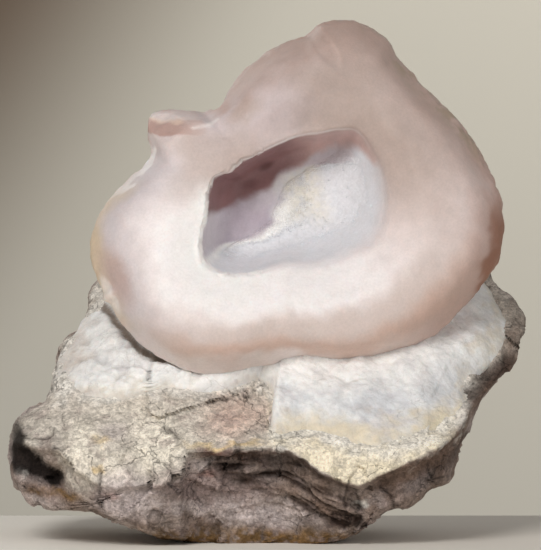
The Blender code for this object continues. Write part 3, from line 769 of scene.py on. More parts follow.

# %% [markdown]
# ### The rock's colours
#
# Grey-brown rock, ashen where the crust left its dust, cream on the crumbly shelf, with
# straw and russet stains along the ledge. The front carries stains in places of their
# own, and among them painted shade under the ledge and a painted highlight on the lower
# lip of the cavity. The back has none to go by, so it gets weathered and rusty clouds.
# Painted shade also lies just under the ledge's lip. Last, the relief itself is painted
# in, with shade darkening every groove and highlight lifting every ridge; the cavity is
# painted nearly black as shade, the recess under the right lobe is painted dark as its
# shadow, and the cracks go nearly black.

# %% The rock's tones and stains
ROCK_TONES = {
    "grey": paint(164, 150, 142),
    "brown": paint(112, 92, 80),
    "dark": paint(60, 45, 38),
    "ash": paint(218, 210, 198),
    "cream": paint(246, 238, 222),
    "sandy": paint(240, 229, 204),
    "straw": paint(220, 190, 132),
    "pink": paint(214, 188, 174),
    "lilac": paint(204, 192, 190),
    "plum": paint(156, 138, 134),
    "russet": paint(124, 76, 62),
    "olive": paint(114, 86, 46),
    "white": paint(234, 231, 224),
    "black": paint(24, 16, 12),
}
ROCK_PATCHES = [
    ("plum", -11.0, 10.5, 11.0, 4.2, -5.0, 0.9),
    ("lilac", -25.0, 10.0, 4.8, 5.0, 0.0, 0.9),
    ("ash", -32.1, 11.8, 3.8, 3.4, -20.0, 0.9),
    ("lilac", -1.5, 5.2, 10.0, 3.4, -6.0, 0.9),
    ("lilac", -14.0, 6.6, 6.0, 1.6, -4.0, 0.6),
    ("brown", 24.0, 11.0, 12.0, 4.0, 28.0, 0.9),
    ("brown", 10.0, 6.0, 4.0, 2.0, -40.0, 0.6),
    # painted shade under the right end of the ledge
    ("dark", 30.0, 15.0, 8.0, 2.4, 36.0, 0.7),
    ("lilac", 18.4, 8.1, 2.8, 1.5, 20.0, 0.4),
    ("lilac", 25.2, 10.8, 3.4, 2.0, 35.0, 0.4),
    ("cream", -23.0, 18.5, 15.0, 7.0, 6.0, 0.6),
    ("ash", -26.6, 19.6, 4.2, 3.4, 0.0, 0.9),
    ("lilac", -27.2, 19.4, 2.8, 2.4, 0.0, 0.5),
    ("cream", -19.4, 16.9, 3.9, 3.8, 0.0, 1.0),
    ("cream", -32.7, 17.8, 4.2, 3.8, 0.0, 1.0),
    ("ash", -12.8, 20.6, 2.6, 2.4, 0.0, 0.7),
    ("ash", -37.9, 18.8, 4.4, 3.2, 0.0, 0.9),
    ("grey", -38.2, 16.4, 2.2, 1.6, -30.0, 0.8),
    # a painted highlight on the lower lip of the cavity
    ("white", -43.4, 12.6, 1.6, 0.7, -60.0, 0.9),
    ("brown", -39.4, 9.2, 5.4, 1.6, -20.0, 0.9),
    ("olive", -37.4, 8.6, 5.4, 0.9, -8.0, 0.9),
    ("straw", -28.9, 18.1, 2.6, 0.7, -10.0, 0.5),
    ("straw", -29.4, 13.6, 1.4, 0.7, -35.0, 0.8),
    ("pink", -6.2, 21.9, 6.8, 3.8, 4.0, 0.9),
    ("straw", -8.0, 17.5, 7.5, 0.6, 0.0, 0.7),
    ("russet", -8.5, 16.4, 5.0, 0.7, -4.0, 0.8),
    # this patch and the next are painted shadow under the ledge
    ("dark", -6.0, 15.6, 7.0, 1.2, -4.0, 0.8),
    ("dark", 1.0, 14.0, 5.5, 1.9, -16.0, 0.6),
    ("dark", -4.0, 11.4, 6.0, 1.6, -16.0, 0.7),
    ("lilac", -12.1, 14.5, 2.6, 1.0, 0.0, 0.8),
    ("russet", -11.2, 12.6, 1.8, 0.6, 0.0, 0.5),
    ("russet", -27.0, 8.4, 1.8, 0.9, 0.0, 0.5),
    ("white", 15.4, 6.8, 1.5, 1.3, 0.0, 0.9),
    ("brown", 43.6, 33.0, 3.2, 8.0, 0.0, 0.8),
    ("brown", 37.0, 46.5, 4.0, 3.0, 0.0, 0.8),
]
# A small glassy lump at the crust's left edge, as an oval; the crust hides most of it
GLASSY_NODULE = (1.3, 21.8, 1.7, 1.3, 0.0, 1.0)
# among these patches are painted shade under the ledge and a painted highlight
print("the rock has", len(ROCK_PATCHES), "stains in", len(ROCK_TONES), "tones")


# %% The rock's colours
def rock_ground(grid, run, upper):
    """Grey under brown and lilac clouds, weathered and rusty behind, ashen on the slope."""
    behind = eased(run, 0.25, 0.6)
    return coated(ROCK_TONES["grey"] + 0.0 * grid, ROCK_TONES, [
        ("brown", 0.45 + 0.5 * layered(grid, 4.0, 4, 151)),
        ("lilac", 0.5 * eased(drift(grid, 7.0, 161), -0.1, 0.6)),
        ("ash", 0.4 * behind * eased(layered(grid, 7.0, 5, 157), 0.12, 0.3)),
        ("russet", 0.35 * behind * eased(layered(grid, 5.0, 5, 159), 0.3, 0.5)),
        ("ash", 0.85 * upper),
    ])


print("the ground under it all, in front:",
      rock_ground(rock_grid[:1], rock_run[:1], 1.0)[0, 0].round(2))


# %% The rock as a piece
def rock_tint(grid, run, cracked, relief):
    """Lay the rock's tones over each other, then darken its grooves with painted shade, lift its ridges
    with painted highlight, paint shade into the cavity and the recess, and dust its edges.
    """
    wander = 0.9 * np.stack([layered(grid, 3.0, 4, 131), layered(grid, 3.0, 4, 141)], axis=-1)
    across = grid[..., 0] + wander[..., 0]
    up = grid[..., 2] + wander[..., 1]
    in_front = 1.0 - eased(run, 0.05, 0.3)
    above = grid[..., 2] - line_value(LEDGE_LINE, grid[..., 0]) + 0.3 * wander[..., 0]
    upper = eased(above, -0.3, 0.3) * in_front
    speck = layered(grid, 0.9, 3, 171)
    blotch = layered(grid, 2.2, 4, 175)
    tint = rock_ground(grid, run, upper)
    stained = patched(tint, ROCK_TONES, ROCK_PATCHES, across, up)
    tint = washed(tint, stained, in_front * (0.9 + 0.2 * speck))

    streaks = groove(across, up, STREAKS, 3.1, 1.5) * (1.0 - upper) * in_front
    plates = 0.65 + 1.2 * np.clip(-foliation(grid), -0.5, 0.4)
    rim = (1.0 - eased(above, -0.4, 2.2)) * eased(above, -4.0, -2.0) * in_front
    shelf = in_front * shelf_share(grid[..., 0], grid[..., 2] + 0.6 * wander[..., 1])
    lip_shade = (np.exp(-((above + 1.0) / 0.7) ** 2) * in_front
                 * eased(grid[..., 0], -2.0, 2.0) * (1.0 - eased(grid[..., 0], 13.0, 16.0)))
    fringe = (1.0 - eased(up, 0.8, 3.6)) * eased(speck, -0.8, 0.2) * in_front
    share = crust_share(grid[..., 0], grid[..., 2]) + 0.10 * layered(grid, 2.0, 4, 351)
    dusted = (1.0 - eased(share, 0.96, 1.16)) * in_front * (1.0 - eased(across, 33.0, 37.0))
    nodule = pressed(grid[..., 0], grid[..., 2], [GLASSY_NODULE], 0.8, 1.0) * in_front
    tint = coated(tint, ROCK_TONES, [
        ("plum", 0.45 * eased(-blotch, 0.15, 0.9) * in_front),
        ("dark", 0.9 * streaks * plates),
        ("brown", 0.8 * rim * eased(grid[..., 0], 16.0, 20.0)),
        ("sandy", shelf * (0.85 + 0.2 * speck - 0.25 * blotch)),
        ("dark", 0.7 * lip_shade),
        ("olive", 0.9 * fringe),
        ("white", 0.7 * dusted),
        ("lilac", 0.9 * nodule),
    ])

    # painted shade darkens the grooves and painted highlight lifts the ridges, by the relief
    depth = mix(0.6, 0.42, upper)
    tint = tint * (1.0 + depth * np.clip(relief, -0.7, 0.5) + 0.07 * speck)[..., None]
    # the cavity is painted nearly black as its shade, and the recess under the right lobe is painted
    # dark as its shadow
    edge = 0.5 * wander[..., 0]
    width = cavity_width(grid[..., 0], 2.1)
    painted_cavity_shade = groove(grid[..., 0] + edge, grid[..., 2] + edge, CAVITY, width, 0.6 * width)
    shadow = groove(grid[..., 0] + edge, grid[..., 2] - edge, OVERHANG, 1.9, 0.3)
    return coated(tint, ROCK_TONES, [
        ("black", 0.96 * painted_cavity_shade * in_front),
        ("dark", 0.8 * shadow * in_front),
        ("black", 0.75 * np.clip(cracked, 0.0, 1.0)),
    ])


rock = ringed_piece("rough_rock", rock_grid,
                    rock_tint(rock_grid, rock_run, rock_cracked, rock_relief))
rock.data.materials.append(rock_finish)
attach(rock, "root")
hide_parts("matrix")


# %% [markdown]
# ## The pale crust
#
# Blue-white chalcedony covers the rock's upper slope in soft lumps, with bright knobs
# where it meets the foot of the bowl. It is a lens that follows the rock's own skin: its
# top stands a few millimetres proud, its edge dives into the rock, and its underside
# lies inside the rock, thinner towards the edge so that it comes out nowhere.

# %% The pale crust's marks
CRUST_KNOBS = [
    (5.6, 29.4, 3.2, 2.6, 0.0, 1.0), (0.0, 29.0, 1.9, 1.1, 20.0, 0.7),
    (11.9, 29.6, 1.3, 1.3, 0.0, 0.6), (15.0, 29.4, 2.0, 1.5, 0.0, 0.7),
    (20.7, 31.8, 3.6, 1.2, 30.0, 0.5), (-7.5, 28.4, 3.2, 0.9, 5.0, 0.5),
]
# The gap under the bowl's left foot, as a path: sunk a little and painted dark as its shadow
FOOT_GAP = [(-31.0, 42.5), (-29.8, 40.0), (-27.2, 36.6), (-25.3, 34.4), (-22.8, 31.6),
            (-19.3, 29.9), (-16.0, 29.0), (-13.2, 28.6)]
print("the crust has", len(CRUST_KNOBS), "bright knobs")


# %% The pale crust's surface
def lens_shares(count):
    """Shares of an outline from the middle out over the top, then back in underneath."""
    out = np.linspace(0.0, 1.0, count) ** 0.8
    share = np.concatenate([out, out[::-1][1:]])[:, None]
    on_top = (np.arange(len(share)) < count)[:, None]
    return share, on_top


def ragged(turns, waves, seed):
    """Drift round a closed edge, read on a circle so that its ends meet."""
    circle = np.stack([np.cos(turns), np.sin(turns), 0.0 * turns], axis=-1)
    return layered(circle * waves / (2.0 * np.pi), 1.0, 3, seed)


def crust_surface(turns, count):
    """The crust: the rock's front skin lifted along the slope's normal by a lumpy height."""
    share, on_top = lens_shares(count)
    edge = reach(CRUST_OUTLINE, turns) * (1.0 + 0.03 * share ** 6 * ragged(turns, 30.0, 361))
    across = CRUST_CENTRE[0] + share * edge * np.cos(turns)
    up = CRUST_CENTRE[1] + share * edge * np.sin(turns)
    spot = np.stack([across, rock_front(across, up, 0.4), up], axis=-1)
    shade = np.exp(-((across + 24.0) / 9.0) ** 2 - ((up - 35.0) / 8.0) ** 2)
    middle = 2.1 + 1.1 * eased(across, -14.0, 2.0) - 0.6 * shade
    lumps = 1.3 * (knobs(spot, 7.0, 81) - 0.4)
    calm = mix(1.2, 0.5, eased(across, -5.0, 6.0))
    fine = calm * (1.1 * (knobs(spot, 3.2, 82) - 0.5) + 0.5 * (knobs(spot, 1.5, 83) - 0.5)
                   + 0.22 * layered(spot, 0.8, 3, 191))
    fine = fine + 0.9 * pressed(across, up, CRUST_KNOBS, 0.2, 1.1)
    gap = groove(across + 0.4 * drift(spot, 4.0, 195), up, FOOT_GAP, 1.5)
    steep = mix(8.0, mix(4.0, 12.0, eased(up, 26.0, 33.0)), eased(across, -5.0, 3.0))
    top = mix(middle + lumps + fine - 0.9 * gap, mix(-1.2, -0.6, eased(across, -5.0, 3.0)),
              share ** steep)
    lift = np.where(on_top, top, mix(-3.5, -1.5, share ** 4))
    return spot + lift[..., None] * np.array([0.0, -0.56, 0.83]), fine, share + 0.0 * up, gap


CRUST_COLUMNS = 470
CRUST_RINGS = 104
crust_grid, crust_relief, crust_out, crust_gap = crust_surface(
    along_edge(CRUST_OUTLINE, CRUST_COLUMNS), CRUST_RINGS)
print("crust from", crust_grid.min(axis=(0, 1)).round(1), "to", crust_grid.max(axis=(0, 1)).round(1))

# %% [markdown]
# ### The crust's colours
#
# The crust is white where it is thick and lets blue-grey and mauve through where it is
# thin. Towards its edge it takes on the sand of the rock below: cream on the right and
# the rock's own grey on the left. Its knobs are the brightest spots of the whole piece.
# Its grooves get painted shade and its lumps a painted highlight, the gap under the
# bowl's left foot is painted as its shadow, and two patches on the right are painted
# light where the bowl's shadow falls.

# %% The pale crust's tones and stains
CRUST_TONES = {
    "white": paint(240, 240, 239),
    "blue": paint(220, 222, 226),
    "cream": paint(226, 214, 190),
    "bright": paint(255, 255, 253),
    "mauve": paint(208, 202, 206),
    "grey": paint(206, 204, 203),
    "rocky": paint(212, 200, 188),
    "straw": paint(226, 212, 162),
    "olive": paint(112, 92, 72),
}
CRUST_PATCHES = [
    ("blue", 4.5, 25.5, 4.0, 4.4, 0.0, 0.7),
    ("blue", 18.0, 23.5, 12.0, 5.0, 5.0, 0.9),
    ("mauve", 19.0, 20.5, 5.0, 1.8, 0.0, 0.6),
    ("blue", 31.0, 29.0, 6.0, 4.0, 50.0, 0.7),
    ("bright", 26.0, 30.5, 5.0, 2.8, 60.0, 0.8),
    # this patch and the next are painted light where the bowl's shadow falls on the crust
    ("bright", 35.0, 35.5, 6.0, 3.4, 50.0, 0.8),
    ("white", 38.5, 36.0, 3.0, 6.0, -20.0, 0.9),
    ("bright", -19.0, 30.0, 5.0, 2.0, -30.0, 0.4),
    ("rocky", -35.0, 30.0, 4.5, 7.0, 10.0, 0.7),
    ("cream", -25.0, 26.4, 12.0, 2.2, 4.0, 0.6),
    ("cream", 9.0, 18.9, 12.0, 2.0, 0.0, 0.9),
    ("cream", 29.0, 22.4, 3.0, 1.6, 40.0, 0.8),
    ("straw", 28.7, 20.6, 2.4, 1.2, 20.0, 0.6),
    ("mauve", -8.0, 26.4, 5.0, 1.0, 4.0, 0.6),
]
# two of these patches are painted light
print("the crust has", len(CRUST_PATCHES), "stains in", len(CRUST_TONES), "tones")


# %% The pale crust as a piece
def crust_tint(grid, relief, share, gap):
    """Blue-white with cream and mauve clouds, darker in its grooves as painted shade, lighter on its
    lumps as painted highlight, sandy at its edge, with painted shadow under the bowl's foot.
    """
    wander = 1.4 * layered(grid, 4.0, 4, 201)
    across = grid[..., 0] + wander
    up = grid[..., 2] + wander
    left = 1.0 - eased(grid[..., 0], -6.0, 4.0)
    low = 1.0 - eased(grid[..., 2], 22.0, 27.0)
    cloud = layered(grid, 2.6, 4, 211)
    fleck = layered(grid, 1.0, 3, 215)
    edge = eased(share + 0.10 * cloud, mix(0.88, 0.72, low), 0.98) * mix(0.6, 1.0, low)
    sandy = mix(CRUST_TONES["cream"], CRUST_TONES["rocky"], left[..., None])
    tint = CRUST_TONES["white"] + 0.0 * grid
    tint = patched(tint, CRUST_TONES, CRUST_PATCHES, across, up)
    tint = coated(tint, CRUST_TONES, [
        ("mauve", 0.35 * eased(cloud, 0.1, 0.8)),
        ("blue", 0.5 * eased(-cloud, 0.0, 0.6) * left),
    ])
    tint = washed(tint, sandy, edge * (0.75 + 0.35 * fleck))
    knobs_near = pressed(across, up, [(*knob[:5], 1.0) for knob in CRUST_KNOBS], 0.5, 1.3)
    # grey is painted shade in the grooves and the first bright a painted highlight on the lumps; the
    # knobs are the crust's own white
    tint = coated(tint, CRUST_TONES, [
        ("grey", 0.6 * eased(-relief, -0.1, 0.6)),
        ("bright", 0.6 * eased(relief, 0.05, 0.5) * (1.0 - edge)),
        ("bright", knobs_near),
    ])
    tint = tint * (1.0 + 0.05 * fleck)[..., None]
    # painted shadow in the gap under the bowl's left foot
    return washed(tint, CRUST_TONES["olive"], 0.85 * eased(gap, 0.3, 0.9))


crust = ringed_piece("pale_crust_skin", crust_grid,
                     crust_tint(crust_grid, crust_relief, crust_out, crust_gap))
crust.data.materials.append(crust_finish)
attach(crust, "root")
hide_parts("pale_crust")


# %% [markdown]
# ## The pink bowl
#
# The bowl's lip is broad and smooth like a river stone, its hollow has a sharp broken rim
# on the upper left and runs out softly on the right, and its sides and back are knobbly.
# It could be a turned shape, but no part of it is round. So a profile of fourteen points
# runs from the hollow's floor over the lip to the back, and every point of it changes as
# it turns round between two outlines, the mouth's and the bowl's.

# %% The bowl's outlines
# Where the middle of its face is, and how the face leans back and turns aside
BOWL_CENTRE = (4.7, 2.7, 59.0)
BOWL_LEAN = 0.27
BOWL_YAW = 0.08
BOWL_OUTLINE = [
    (10.6, 30.9), (15.4, 28.2), (17.5, 24.8), (21.5, 20.0), (28.2, 13.4), (33.3, 5.6),
    (35.9, -2.1), (35.2, -9.5), (30.6, -16.6), (23.5, -23.2), (15.9, -26.8),
    (7.5, -28.0), (2.3, -27.4), (-6.1, -28.3), (-15.4, -29.6), (-24.3, -26.2),
    (-31.3, -19.4), (-35.3, -10.6), (-35.5, -6.9), (-33.2, -0.9), (-27.6, 4.9),
    (-25.2, 7.6), (-26.3, 13.7), (-25.7, 14.5), (-19.6, 15.6), (-16.1, 15.2),
    (-12.8, 17.9), (-8.2, 23.0), (-1.2, 27.4), (1.4, 28.2), (4.9, 30.7), (7.5, 31.2),
]
MOUTH_OUTLINE = [
    (7.5, 12.3), (10.5, 11.9), (13.5, 7.4), (15.1, 0.0), (14.5, -3.9), (12.8, -7.0),
    (9.3, -8.9), (-1.2, -11.0), (-10.0, -12.6), (-13.5, -12.3), (-15.9, -10.7),
    (-16.6, -8.8), (-15.6, -2.1), (-14.4, 3.9), (-11.4, 5.4), (-4.7, 9.5), (3.2, 11.7),
]
print("the bowl is", reach(BOWL_OUTLINE, np.radians([0.0, 90.0, 180.0, 270.0])).round(1),
      "mm from its middle to its edge")

# %% Values that change round the bowl
HOLLOW_FLOOR = -1.5
CREST_HEIGHT = 12.0
BOWL_BACK = 14.0
# Pairs of a turn in degrees and a value
RIM_SHARPNESS = [(-60, 0.15), (-20, 0.0), (30, 0.05), (62, 0.8), (100, 1.0), (205, 1.0),
                 (235, 0.6), (270, 0.4)]
EDGE_OVERHANG = [(-60, 0.2), (0, 0.0), (90, 0.0), (150, 0.3), (190, 0.9), (245, 1.0),
                 (275, 0.5)]
CREST_RISE = [(-30, 0.3), (60, 0.6), (85, 1.2), (120, -0.4), (150, -1.4), (200, 0.2),
              (270, 0.3)]
RIM_LIFT = [(0, 0.0), (90, 0.0), (155, 0.0), (190, 0.9), (230, 0.7), (270, 0.2)]


def bowl_rings(turns):
    """The rings of the bowl as radius and height, from the hollow's floor to the back."""
    mouth = reach(MOUTH_OUTLINE, turns)
    rim = reach(BOWL_OUTLINE, turns)
    lip = rim - mouth
    sharp = round_value(RIM_SHARPNESS, turns)
    over = round_value(EDGE_OVERHANG, turns)
    crest = CREST_HEIGHT + round_value(CREST_RISE, turns)
    lift = round_value(RIM_LIFT, turns)
    floor = HOLLOW_FLOOR + 0.0 * turns
    rings = [
        (0.0 * turns, floor),
        (0.40 * mouth, floor + 0.2),
        (mix(0.70, 0.74, sharp) * mouth, floor + mix(2.6, 0.8, sharp)),
        (mix(0.88, 0.90, sharp) * mouth, mix(4.6, 4.6, sharp)),
        (mouth, mix(7.6, 10.2, sharp) + lift),
        (mouth + 0.10 * lip, mix(9.9, 11.3, sharp) + 0.5 * lift),
        (mouth + 0.42 * lip, crest),
        (mouth + 0.77 * lip, 0.86 * crest),
        (mix(0.975, 0.985, over) * rim, mix(0.40, 0.46, over) * crest),
        (rim, mix(0.0, 2.6, over)),
        (mix(0.965, 0.90, over) * rim, mix(-0.42, -0.06, over) * BOWL_BACK),
        (mix(0.80, 0.72, over) * rim, mix(-0.80, -0.50, over) * BOWL_BACK),
        (0.45 * rim, mix(-0.97, -0.88, over) * BOWL_BACK),
        (0.0 * turns, -BOWL_BACK + 0.0 * turns),
    ]
    return [np.stack(ring, axis=-1) for ring in rings]


def bowl_depth(side, up, height):
    """How far back a point of the bowl is, from its place on the face and its height."""
    return BOWL_CENTRE[1] + BOWL_LEAN * up + BOWL_YAW * side - height


print("the crest is", (CREST_HEIGHT + round_value(CREST_RISE, full_turn(4))).round(1), "mm high")

# %% [markdown]
# ### The bowl's surface
#
# The profile gives a smooth bowl. Then come the marks of its life: long scars pressed
# into the lip, four flat breaks that chop the lower left and make the square corner at
# the upper left, and a small nub. The back has grown in large knobs with buds on them.
# The knobs are pushed out along the skin's own normals, and held back at the widest ring
# so that the outline stays the one that was drawn.

# %% Scars and breaks of the bowl
LIP_SCARS = [
    (9.5, -26.8, 14.0, 2.0, 3.0, 0.7),
    (4.5, 27.0, 5.0, 1.6, 125.0, 0.5),
    (18.5, 24.5, 1.8, 1.0, -60.0, 0.8),
]
BOWL_BREAKS = [
    ((-24.0, -14.4, 43.8), (-0.66, -0.74, -0.10), 12.0, 0.8),
    ((-21.4, 1.0, 70.0), (-0.98, 0.18, 0.05), 7.0, 0.15),
    ((-15.0, 6.0, 74.2), (0.05, 0.2, 0.98), 9.0, 0.3),
    ((-15.0, -4.1, 72.0), (-0.38, -0.6, 0.75), 10.0, 0.15),
]
EDGE_NUB = (-32.5, -16.3, 1.4, 1.0, 70.0, 1.0)
# Places along the profile, counted in its points
WIDEST_RING = 9.2
RIM_RING = 4.2
print("the bowl has", len(LIP_SCARS), "scars and", len(BOWL_BREAKS), "flat breaks")


# %% The bowl's surface
def bowl_form(turns, where):
    """The bowl's large form: its profile carried round, scarred, swollen behind, broken."""
    rings = through_rings(bowl_rings(turns), where)
    side = rings[..., 0] * np.cos(turns)
    up = rings[..., 0] * np.sin(turns)
    front = 1.0 - eased(where, 8.6, 9.2)[:, None]
    height = rings[..., 1] - front * pressed(side, up, LIP_SCARS, 0.75, 1.05)
    grid = np.stack([BOWL_CENTRE[0] + side, bowl_depth(side, up, height),
                     BOWL_CENTRE[2] + up], axis=-1)
    rough = eased(where, 7.8, 10.0)[:, None]
    swell = 2.4 * (knobs(grid, 10.0, 21) - 0.45) + 0.7 * (knobs(grid, 5.0, 31) - 0.5)
    widest = np.exp(-((where - WIDEST_RING) / 1.3) ** 2)[:, None]
    swell = np.where(swell > 0.0, swell * (1.0 - 0.85 * widest), swell * (1.0 - 0.4 * widest))
    gentle = 0.35 * drift(grid, 14.0, 41) * (1.0 - widest)
    buds = eased(where, 9.6, 10.8)[:, None] * 1.3 * (knobs(grid, 6.0, 227) - 0.5)
    grid = grid + outward(grid) * (rough * swell + gentle)[..., None]
    grid, fresh, edges = sliced(grid, BOWL_BREAKS)
    return grid, side, up, fresh, edges, buds, rough, swell


def bowl_surface(turns, where):
    """The bowl's form with buds, small knobs, a chipped rim and a nub along its normals."""
    grid, side, up, fresh, edges, buds, rough, swell = bowl_form(turns, where)
    front = 1.0 - eased(where, 8.6, 9.2)[:, None]
    right = eased(grid[..., 0], 18.0, 30.0)
    outer = eased(where, 7.6, 8.6)[:, None] * mix(0.25, 1.0, right) + rough * (1.0 - right) * 0.75
    skin = (0.55 * (knobs(grid, 3.4, 225) - 0.5) + 0.45 * (knobs(grid, 2.0, 221) - 0.5)
            + 0.2 * (knobs(grid, 1.1, 231) - 0.5))
    rim_chips = np.exp(-((where - RIM_RING) / 0.5) ** 2)[:, None] * (side < -6.0)
    nub = 0.9 * front * pressed(side, up, [EDGE_NUB], 0.2, 1.1)
    fine = (outer * skin + buds + 0.11 * layered(grid, 5.0, 4, 241) + nub
            + 0.4 * rim_chips * broken(grid, 1.6, 251) + 0.10 * fresh * broken(grid, 1.8, 255))
    fine[0] = fine[0].mean()
    fine[-1] = fine[-1].mean()
    lumps = buds + 1.6 * outer * skin + 0.3 * rough * swell
    return grid + outward(grid) * fine[..., None], side, up, fresh, edges, lumps


BOWL_COLUMNS = 540
bowl_where = places((4.0, 62), (9.0, 66), (13.0, 50))
bowl_grid, bowl_side, bowl_up, bowl_fresh, bowl_edges, bowl_lumps = bowl_surface(
    full_turn(BOWL_COLUMNS), bowl_where)
print("bowl from", bowl_grid.min(axis=(0, 1)).round(1), "to", bowl_grid.max(axis=(0, 1)).round(1))

# %% [markdown]
# ### The hollow's colours
#
# The hollow has a dark mauve wall under its upper left rim, a grey-lilac floor at the
# left and white sugar at the right. The wall's own mauve is darkened with painted shade
# under the rim, and the floor at the left is greyed with painted shade. Its colours are a
# formula of the place on the bowl's face alone, so the bowl and the sheet of sugar that
# lies on it can share them, and the edge of the sheet doesn't show.

# %% The hollow's tones and borders
HOLLOW_TONES = {
    # the wall tone is the wall's own mauve with painted shade from the rim in it
    "wall": paint(140, 100, 99),
    "mauve": paint(208, 176, 170),
    "grey": paint(214, 207, 213),
    # purple serves mostly as painted shade on the floor at the left
    "purple": paint(180, 167, 180),
    "ice": paint(226, 227, 232),
    "sugar": paint(255, 254, 252),
    "sand": paint(234, 230, 222),
    "stain": paint(92, 52, 50),
}
WALL_STAINS = [("stain", -8.2, 2.8, 1.6, 1.0, 20.0, 0.4), ("stain", -5.4, 5.9, 1.6, 0.8, 30.0, 0.7)]
# The lower end of the wall, as height by side, and the border of the white, as side by height
WALL_LINE = [(-18.0, -3.6), (-15.0, -2.7), (-11.4, -0.9), (-7.7, 0.8), (-4.7, 2.2), (-3.0, 4.0),
             (1.0, 5.9), (3.5, 8.3), (7.0, 9.3), (9.8, 9.2), (12.2, 7.4), (13.6, 6.0)]
WHITE_BORDER = [(-14.0, -19.0), (-9.5, -15.6), (-7.75, -12.2), (-6.9, -8.6), (-5.3, -5.6),
                (-3.9, -3.2), (-2.2, -3.1), (0.0, -2.6), (3.9, -3.0), (5.2, 0.0), (6.1, 3.5),
                (6.4, 7.0), (7.8, 9.3), (9.5, 11.5), (13.0, 13.0)]
print("the white starts at", line_value(WHITE_BORDER, np.array([-10.0, 0.0, 10.0])).round(1), "mm")


# %% The hollow's washes
def hollow_tint(side, up):
    """The hollow's colours: dark wall, grey-lilac floor on the left, both partly painted shade, and
    white on the right.
    """
    spot = np.stack([side, up, 0.0 * side], axis=-1)
    wander = layered(spot, 3.0, 4, 371)
    grain = layered(spot, 0.9, 3, 391)
    shade = eased(side, -15.5, -11.0) * (1.0 - eased(up, -4.0, 3.0))
    past = side - line_value(WHITE_BORDER, up) + 0.9 * wander
    white = eased(past, mix(-0.8, -2.4, eased(up, -6.0, -2.0)), 1.6)
    middle = white * (1.0 - eased(side + up * 0.3, 3.0, 7.0)) * eased(up, -6.0, -1.0)
    crest = np.exp(-((past - 1.0) / 1.6) ** 2) * (1.0 - eased(up, -2.0, 2.0))
    tint = coated(HOLLOW_TONES["grey"] + 0.0 * spot, HOLLOW_TONES, [
        # purple by the shade mask is painted shade on the left floor; by the wander it is tone
        ("purple", 0.8 * shade + 0.2 * wander),
        ("ice", white),
        ("sand", middle * (0.75 + 0.4 * grain)),
        ("sugar", 0.9 * crest),
    ])
    # the dark wall: its own mauve, darkened as painted shade under the rim
    wall = eased(up - line_value(WALL_LINE, side) + 0.5 * wander, -0.9, 1.1)
    dark = mix(HOLLOW_TONES["wall"], HOLLOW_TONES["mauve"], eased(side, -4.0, 6.0)[..., None])
    tint = washed(tint, dark * (1.0 + 0.12 * wander)[..., None], 0.95 * wall)
    return patched(tint, HOLLOW_TONES, WALL_STAINS, side, up)


print("the tint in the hollow's middle:", hollow_tint(np.zeros(1), np.zeros(1)).round(2))

# %% [markdown]
# ### The bowl's colours
#
# The lip is near white below, dusky above and darker all round its edge. The dusk above
# and the darker edge are partly the stone's own colour and partly painted shade where
# the lip turns from the light; the lower rim gets painted light, the thin left edge a
# painted glow of light shining through it, and the upper left shoulder and the flat break
# beside it painted highlight and painted shade. Most washes go by two numbers, so they
# can be laid like slices: the share of the way from the mouth to the edge, and the turn.
# Behind, where no colour is known, the skin is paler on its buds and darker in the
# grooves between them.

# %% The bowl's tones and patches
BOWL_TONES = {
    "pink": paint(224, 209, 205),
    "lilac": paint(220, 209, 213),
    "glow": paint(252, 245, 245),
    "dusk": paint(186, 168, 160),
    "haze": paint(199, 184, 184),
    "rose": paint(192, 165, 154),
    "amber": paint(216, 196, 168),
    "peach": paint(214, 186, 173),
    "blush": paint(214, 205, 207),
    "shade": paint(218, 203, 197),
    "brown": paint(198, 164, 152),
    "umber": paint(150, 98, 72),
    "moss": paint(150, 138, 106),
    # chip is the pale colour of chipped stone, and serves as painted highlight too
    "chip_and_highlight": paint(252, 248, 246),
    "edge": paint(236, 212, 194),
    "scar": paint(190, 156, 146),
    "mauve": paint(196, 174, 170),
}
# The dusk patches are partly the lip's own colour and partly painted shade towards the top
BOWL_PATCHES = [
    ("haze", -3.0, 17.5, 15.0, 7.0, 35.0, 0.9),
    ("dusk", 9.0, 28.0, 9.0, 5.0, -10.0, 0.8),
    ("dusk", 21.0, 13.0, 13.0, 8.0, 125.0, 0.6),
    ("lilac", -24.0, 2.0, 9.0, 6.0, 60.0, 0.7),
    ("lilac", -12.0, 14.0, 8.0, 3.5, 30.0, 0.6),
    ("dusk", 7.0, 22.0, 12.0, 4.0, 0.0, 0.8),
    ("dusk", -9.0, 15.5, 4.0, 2.2, 40.0, 0.8),
    ("brown", -13.5, 16.5, 2.6, 1.3, 50.0, 0.6),
]
LEFT_SCAR = ("mauve", -31.6, -13.0, 3.0, 7.0, 20.0, 0.9)
# The band and the bright lines of the chipped corner, as paths on the bowl's face; the lines are
# painted highlights
CORNER_BAND = [(-26.4, 13.0), (-21.0, 12.95), (-17.0, 12.7)]
CORNER_HIGHLIGHTS = [
    ("edge", [(-25.6, 14.4), (-23.0, 14.35), (-20.3, 14.15)]),
    ("chip_and_highlight", [(-18.2, 12.8), (-17.2, 12.9), (-16.2, 13.1), (-15.0, 13.5), (-13.8, 14.2)]),
]
print("the bowl has", len(BOWL_TONES), "tones")

# %% Where each point of the bowl lies
bowl_turns = np.arctan2(bowl_up, bowl_side)
bowl_ring = bowl_where[:, None] + 0.0 * bowl_side
bowl_cloud = layered(bowl_grid, 8.0, 4, 261)
mouth_reach = reach(MOUTH_OUTLINE, bowl_turns)
bowl_out = ((np.hypot(bowl_side, bowl_up) - mouth_reach)
            / (reach(BOWL_OUTLINE, bowl_turns) - mouth_reach) + 0.1 * bowl_cloud)
lip_front = 1.0 - eased(bowl_ring, 9.0, 9.4)
behind = eased(bowl_ring, 8.8, 10.0)


